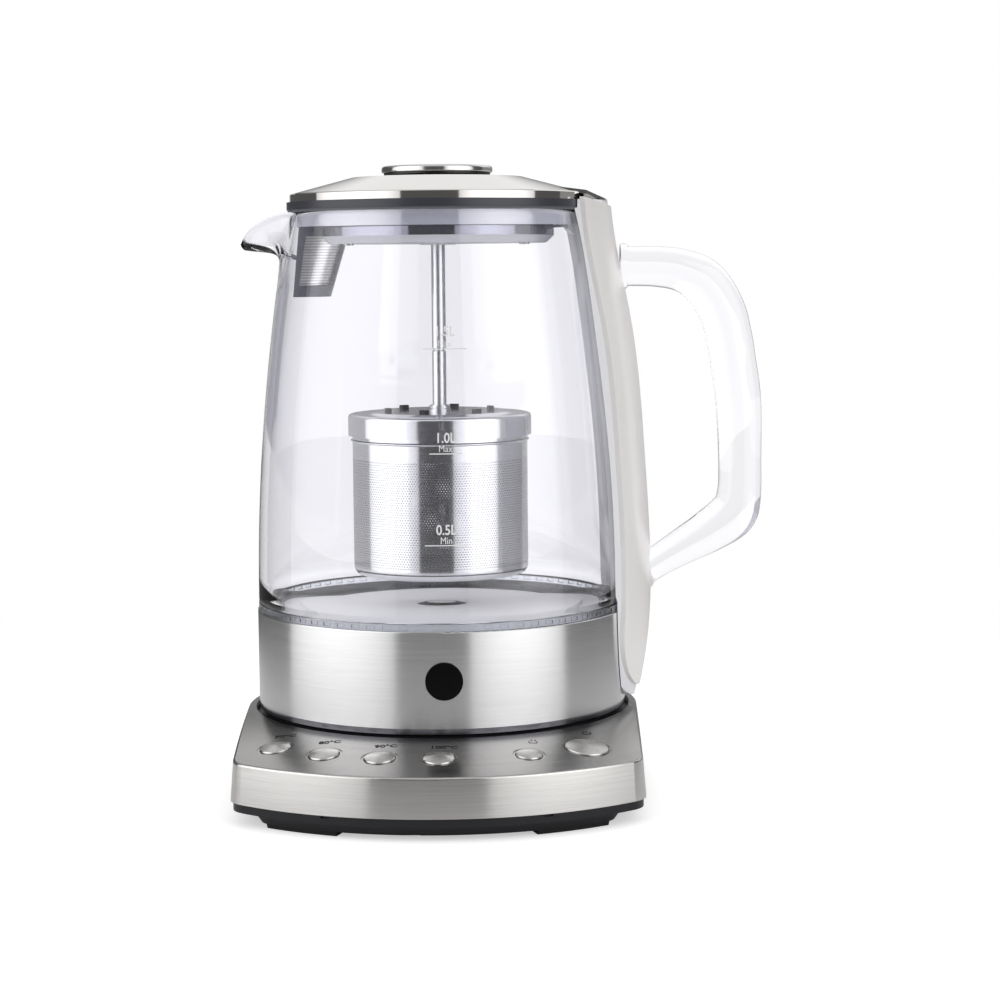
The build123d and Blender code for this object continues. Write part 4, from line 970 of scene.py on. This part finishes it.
def wall_point(angle, z, drawn):
    """Point of the glass's outside; drawn 1 pulls it out to the spout, 0 leaves it round."""
    radius = glass_radius(z)
    rise = (z - SPOUT_ROOT_Z) / (SIDE_TOP_Z - SPOUT_ROOT_Z)
    weight = 1.0 - ease(abs(angle) / SPOUT_HALF_ANGLE)
    pull, drop = 0.0, 0.0
    if drawn and rise > 0:
        a, b = 1.0 - rise, rise
        terms = (a**3, 3 * a * a * b, 3 * a * b * b, b**3)
        reach = sum(t * p[0] for t, p in zip(terms, SPOUT_LINE))
        level = sum(t * p[1] for t, p in zip(terms, SPOUT_LINE))
        pull = weight * (reach - radius)
        share = (1.0 - SPOUT_CURL) * weight**SPOUT_DROOP + SPOUT_CURL * weight**LIP_DROOP
        drop = share * (z - level)
    return Vector((-radius * math.cos(angle) - pull, radius * math.sin(angle), z - drop))


def wall_frame(angle, z, drawn):
    """The wall's point, its outward normal and its direction up the wall."""
    here = wall_point(angle, z, drawn)
    up = (here - wall_point(angle, z - PROBE_STEP, drawn)).normalized()
    right = wall_point(angle + PROBE_TURN, z, drawn)
    left = wall_point(angle - PROBE_TURN, z, drawn)
    return here, (right - left).cross(up).normalized(), up


for vert in bm.verts:
    x, y, z = vert.co
    angle = math.atan2(y, -x)
    if z < SPOUT_ROOT_Z or abs(angle) > SPOUT_HALF_ANGLE:
        continue
    level = min(z, SIDE_TOP_Z)
    depth = glass_radius(level) - math.hypot(x, y)
    before, after = wall_frame(angle, level, 0), wall_frame(angle, level, 1)
    outward = 1.0 if before[1].dot(Vector((x, y, 0))) > 0 else -1.0
    shift = after[0] - before[0]
    shift -= depth * outward * (after[1] - before[1])
    shift += (z - level) * (after[2] - before[2])
    vert.co += shift
bmesh.ops.recalc_face_normals(bm, faces=bm.faces)

jug_glass_clear = clear_glass("borosilicate_jug_glass", "#F4F4F7")
new_piece("jug_glass_body", bm, jug_glass_clear, "jug", ["jug_glass"])

# The ribbed ring under the glass is clear plastic.
ring_clear = clear_glass("clear_ring_plastic", "#D6D8DE", roughness=0.2, ripple=0.0)
paint(ring_clear, "collar_top_ring")

# ------------------------------------------------------------------ volume marks
# White ceramic print, fired on the outside of the glass at the front.

MARK_X = 0.0038
MARK_LIFT = 0.00008
MARK_NARROW = 0.85
MARK_BOLD = 0.00010
VOLUME_TALL = 0.0052
WORD_TALL = 0.0036
LINE_TALL = 0.0004


def on_glass(x, z):
    """Point just outside the glass at the front."""
    radius = glass_radius(z) + MARK_LIFT
    return (x, -math.sqrt(radius**2 - x**2), z)


mark_white = moulded_plastic("white_ceramic_print", "#F4F4F4", 0.5)
for tag, volume, word, volume_z, word_z, line_z, line_long in (
    ("15", "1.5L", "Max", 0.1804, 0.1760, 0.1741, 0.0160),
    ("10", "1.0L", "Max", 0.1412, 0.1373, 0.1355, 0.0120),
    ("05", "0.5L", "Min", 0.1072, 0.1033, 0.1016, 0.0160),
):
    for name, text, tall, z, bold in (
        ("mark_volume_" + tag, volume, VOLUME_TALL, volume_z, MARK_BOLD),
        ("mark_word_" + tag, word, WORD_TALL, word_z, 0.0),
    ):
        printed(
            name,
            text,
            tall,
            (MARK_X, z),
            on_glass,
            mark_white,
            "jug",
            MARK_NARROW,
            bold,
        )
    bm = bmesh.new()
    bmesh.ops.create_grid(bm, x_segments=16, y_segments=1, size=0.5)
    for vert in bm.verts:
        vert.co = on_glass(MARK_X + vert.co.x * line_long, line_z + vert.co.y * LINE_TALL)
    new_piece("mark_line_" + tag, bm, mark_white, "jug")

# ------------------------------------------------------------------ glass handle
# A bent rod of the same glass, thickest at its two bends, with a flared bead at its root.

HANDLE_DEEP = 0.0078
HANDLE_SIDES = 40
HANDLE_SPAN_STEPS = 6
HANDLE_SQUARE = 0.85
HANDLE_STATIONS = [
    # x, z, half thickness in the plane of the bend
    (0.0722, 0.2039, 0.0088),
    (0.0742, 0.2039, 0.0090),
    (0.0756, 0.2039, 0.0080),
    (0.0790, 0.2038, 0.0078),
    (0.0870, 0.2036, 0.0080),
    (0.0966, 0.2020, 0.0084),
    (0.1054, 0.1972, 0.0094),
    (0.1124, 0.1866, 0.0093),
    (0.1155, 0.1752, 0.0092),
    (0.1170, 0.1662, 0.0091),
    (0.1191, 0.1502, 0.0091),
    (0.1198, 0.1262, 0.0085),
    (0.1194, 0.1122, 0.0088),
    (0.1166, 0.1046, 0.0096),
    (0.1076, 0.0980, 0.0086),
    (0.0980, 0.0925, 0.0073),
    (0.0880, 0.0866, 0.0063),
    (0.0822, 0.0827, 0.0061),
    (0.0806, 0.0816, 0.0071),
    (0.0790, 0.0806, 0.0072),
]


def spline(points, per_span):
    """Smooth curve of tuples through the given tuples, per_span steps in each span."""
    curve = []
    for i in range(len(points) - 1):
        p = [Vector(points[max(0, min(i + k, len(points) - 1))]) for k in (-1, 0, 1, 2)]
        for step in range(per_span):
            t = step / per_span
            curve.append(
                0.5
                * (
                    2 * p[1]
                    + (p[2] - p[0]) * t
                    + (2 * p[0] - 5 * p[1] + 4 * p[2] - p[3]) * t * t
                    + (3 * p[1] - p[0] - 3 * p[2] + p[3]) * t**3
                )
            )
    curve.append(Vector(points[-1]))
    return curve


def squared(value):
    """A cosine or sine that makes a circle slightly square."""
    return math.copysign(abs(value) ** HANDLE_SQUARE, value)


line = spline(HANDLE_STATIONS, HANDLE_SPAN_STEPS)
bm = bmesh.new()
rings = []
for i, (x, z, thick) in enumerate(line):
    before, after = line[max(i - 1, 0)], line[min(i + 1, len(line) - 1)]
    along = Vector((after[0] - before[0], 0, after[1] - before[1])).normalized()
    across = Vector((along.z, 0, -along.x))
    row = []
    for j in range(HANDLE_SIDES):
        turn = math.tau * j / HANDLE_SIDES
        reach = squared(math.cos(turn)) * thick
        deep = squared(math.sin(turn)) * HANDLE_DEEP
        row.append(bm.verts.new(Vector((x, deep, z)) + across * reach))
    rings.append(row)
for first, second in zip(rings, rings[1:]):
    for j in range(HANDLE_SIDES):
        k = (j + 1) % HANDLE_SIDES
        bm.faces.new((first[j], first[k], second[k], second[j]))
bm.faces.new(rings[0])
bm.faces.new(rings[-1])
bmesh.ops.recalc_face_normals(bm, faces=bm.faces)
handle_glass_clear = clear_glass("borosilicate_handle_glass", "#F3F3F6")
new_piece("handle_rod", bm, handle_glass_clear, "jug", ["glass_handle"])

# ------------------------------------------------------------------ spine
# A satin steel cover pressed to a half round, over a grey moulded liner.

spine_steel = brushed_steel(
    "satin_spine_steel",
    "#FDFBF9",
    roughness=0.34,
    lines=(1.0, 1.0, 0.02),
    line_mm=0.5,
    streak=0.03,
    metal=0.15,
)
liner_plastic = moulded_plastic("satin_grey_liner_pp", "#F4F4F8", 0.30)
paint(spine_steel, "spine_cover")
paint(liner_plastic, "spine_liner")

# ------------------------------------------------------------------ lid
# A polished steel dome on a grey moulded drum, with a milky silicone skirt, and a spout
# filter that hangs from the drum: a smoke grey frame round a woven steel mesh.

lid_steel = brushed_steel(
    "polished_lid_steel", "#DEDBD8", roughness=0.07, lines=EVEN, line_mm=4.0, streak=0.01
)
frame_plastic = moulded_plastic("smoke_grey_frame_pp", "#4B4C56", 0.20)
gasket_rubber = moulded_plastic("grey_lid_gasket", "#6A6C72", 0.5)
pan_plastic = moulded_plastic("pale_underside_pp", "#D6D6DB", 0.4)
paint(lid_steel, "lid_dome")
paint(frame_plastic, "filter_frame")
paint(gasket_rubber, "lid_gasket_ring")
paint(pan_plastic, "lid_underside", "lid_bushing")
paint(black_plastic, "knob_base", "bayonet_ring")

# The drum is one moulding: matt under the dome, and plated bright below the seal.
DRUM_BAND_TOP = 0.2197
drum_plastic, tree = new_material("part_plated_drum_pp")
coords = add(tree, "ShaderNodeTexCoord")
parts = add(tree, "ShaderNodeSeparateXYZ", links={0: coords.outputs["Object"]})
low = add(
    tree,
    "ShaderNodeMath",
    {1: DRUM_BAND_TOP},
    {0: parts.outputs["Z"]},
    operation="LESS_THAN",
)
matt = add(
    tree, "ShaderNodeBsdfPrincipled", {"Base Color": linear("#3F4048"), "Roughness": 0.3}
)
plated = add(
    tree,
    "ShaderNodeBsdfPrincipled",
    {"Base Color": linear("#A0A0AC"), "Metallic": 1.0, "Roughness": 0.08},
)
both = add(
    tree,
    "ShaderNodeMixShader",
    links={0: low.outputs[0], 1: matt.outputs[0], 2: plated.outputs[0]},
)
add(tree, "ShaderNodeOutputMaterial", links={"Surface": both.outputs[0]})
paint(drum_plastic, "lid_body")

# Milky silicone. Its wet-looking skin is a coat of high IOR.
seal_silicone, tree = new_material("milky_lid_silicone")
shader = add(
    tree,
    "ShaderNodeBsdfPrincipled",
    {
        "Base Color": linear("#B0B1BE"),
        "Roughness": 0.3,
        "Coat Weight": 1.0,
        "Coat IOR": 2.8,
        "Coat Roughness": 0.08,
    },
)
add(tree, "ShaderNodeOutputMaterial", links={"Surface": shader.outputs[0]})
paint(seal_silicone, "lid_seal")

# The mesh is drawn coarser than the real weave, which is too fine to show. The wave node
# turns 20 radians per unit of its scale.
MESH_PITCH = 0.0011
WAVE_RADIANS = 20.0
WIRE_DEPTH = 0.0001
mesh_steel, tree = new_material("woven_filter_mesh")
coords = add(tree, "ShaderNodeTexCoord")
wires = add(
    tree,
    "ShaderNodeTexWave",
    {"Scale": math.tau / MESH_PITCH / WAVE_RADIANS},
    {"Vector": coords.outputs["Object"]},
    wave_type="BANDS",
    bands_direction="Z",
)
tone = add(
    tree,
    "ShaderNodeMapRange",
    {"To Min": 0.45, "To Max": 0.90},
    {"Value": wires.outputs["Fac"]},
)
bump = add(
    tree,
    "ShaderNodeBump",
    {"Strength": 0.5, "Distance": WIRE_DEPTH},
    {"Height": wires.outputs["Fac"]},
)
shader = add(
    tree,
    "ShaderNodeBsdfPrincipled",
    {"Metallic": 1.0, "Roughness": 0.3},
    {"Base Color": tone.outputs[0], "Normal": bump.outputs[0]},
)
add(tree, "ShaderNodeOutputMaterial", links={"Surface": shader.outputs[0]})
paint(mesh_steel, "filter_mesh")

# ------------------------------------------------------------------ knob and rod
# A satin disc with a polished edge, screwed on the polished lifting rod.

knob_steel = brushed_steel(
    "satin_knob_steel",
    "#DADADA",
    roughness=0.16,
    lines=EVEN,
    line_mm=4.0,
    streak=0.01,
    spread=0.4,
)
rod_steel = brushed_steel(
    "polished_rod_steel",
    "#DEDEE0",
    roughness=0.28,
    lines=(1.0, 1.0, 0.1),
    line_mm=2.0,
    streak=0.03,
)
paint(knob_steel, "knob_disc")
paint(rod_steel, "lift_rod", "rod_nuts")

# ------------------------------------------------------------------ tea basket
# A drawn cup of 0.6 mm polished steel: a plain rim with a bead, a plain foot, and between
# them a wall punched with fine staggered holes.

basket_steel = brushed_steel(
    "polished_basket_steel",
    "#E3E3E6",
    roughness=0.12,
    lines=(0.02, 0.02, 1.0),
    line_mm=0.5,
    streak=0.02,
)
paint(basket_steel, "basket_cover")

CUP_RADIUS = 0.0349
CUP_WALL = 0.0006
CUP_FOOT_Z = 0.0826
CUP_TOP_Z = 0.1440
CUP_FILLET = 0.0030
CUP_STEPS = 128
BEAD_Z = 0.1359
BEAD_TALL = 0.0012
BEAD_PROUD = 0.0007
BEAD_STEPS = 8
SEAM_PROUD = 0.00001
HOLES_AROUND = 200
HOLE_SHARE = 0.34
HOLE_ROWS = 44
HOLE_FOOT_Z = 0.0872

inner = CUP_RADIUS - CUP_WALL
pitch = math.tau * CUP_RADIUS / HOLES_AROUND
row_rise = pitch * math.sqrt(3) / 2
hole_top_z = HOLE_FOOT_Z + HOLE_ROWS * row_rise
bead = [
    (
        CUP_RADIUS + BEAD_PROUD * math.sin(math.pi * i / BEAD_STEPS),
        BEAD_Z - BEAD_TALL / 2 + BEAD_TALL * i / BEAD_STEPS,
    )
    for i in range(BEAD_STEPS + 1)
]
rim = [(CUP_RADIUS + SEAM_PROUD, hole_top_z), *bead, (CUP_RADIUS, CUP_TOP_Z)]
rim += [(inner, CUP_TOP_Z), (inner, hole_top_z)]
bm = spun(rim, CUP_STEPS)
new_piece("basket_rim", bm, basket_steel, "cup", ["basket_cup"])

corner = [
    (
        CUP_RADIUS - CUP_FILLET * (1 - math.cos(math.radians(degrees))),
        CUP_FOOT_Z + CUP_FILLET * (1 - math.sin(math.radians(degrees))),
    )
    for degrees in range(0, 91, 15)
]
foot = [(CUP_RADIUS + SEAM_PROUD, HOLE_FOOT_Z), *corner, (0.0, CUP_FOOT_Z)]
foot += [(0.0, CUP_FOOT_Z + CUP_WALL), (CUP_RADIUS - CUP_FILLET, CUP_FOOT_Z + CUP_WALL)]
foot += [(inner, CUP_FOOT_Z + CUP_FILLET), (inner, HOLE_FOOT_Z)]
bm = spun(foot, CUP_STEPS)
new_piece("basket_foot", bm, basket_steel, "cup")

# One hexagon with a hole is turned into half a row of them, and the row is copied upwards,
# each time half a pitch aside.
for name, first_turn in (("basket_wall_front", math.pi), ("basket_wall_back", 0.0)):
    bm = bmesh.new()
    bmesh.ops.create_circle(bm, cap_ends=True, segments=6, radius=pitch / math.sqrt(3))
    bmesh.ops.inset_individual(
        bm, faces=list(bm.faces), thickness=pitch * (0.5 - HOLE_SHARE / 2), depth=0
    )
    hole = max(bm.faces, key=lambda face: len(face.verts))
    bmesh.ops.delete(bm, geom=[hole], context="FACES_ONLY")
    borders = [edge for edge in bm.edges if len(edge.link_faces) == 1]
    # The hexagon's outer edges are longer than those of its hole.
    hole_edges = [edge for edge in borders if edge.calc_length() < pitch * 0.4]
    walls = bmesh.ops.extrude_edge_only(bm, edges=hole_edges)
    for item in walls["geom"]:
        if isinstance(item, bmesh.types.BMVert):
            item.co.z = -CUP_WALL
    for vert in bm.verts:
        u, v, w = vert.co
        turn = first_turn + u / CUP_RADIUS
        out = CUP_RADIUS + w
        z = HOLE_FOOT_Z + row_rise / 2 + v
        vert.co = (out * math.cos(turn), out * math.sin(turn), z)
    bmesh.ops.spin(
        bm,
        geom=list(bm.faces),
        cent=(0, 0, 0),
        axis=(0, 0, 1),
        angle=math.pi,
        steps=HOLES_AROUND // 2,
        use_duplicate=True,
    )
    row = list(bm.faces)
    for index in range(1, HOLE_ROWS):
        copy = bmesh.ops.duplicate(bm, geom=row)["geom"]
        moved = [item for item in copy if isinstance(item, bmesh.types.BMVert)]
        offset = Matrix.Rotation(math.pi / HOLES_AROUND * (index % 2), 4, "Z")
        lift = Matrix.Translation((0, 0, index * row_rise))
        bmesh.ops.transform(bm, matrix=lift @ offset, verts=moved)
    bmesh.ops.remove_doubles(bm, verts=bm.verts, dist=2e-6)
    bmesh.ops.recalc_face_normals(bm, faces=bm.faces)
    new_piece(name, bm, basket_steel, "cup")
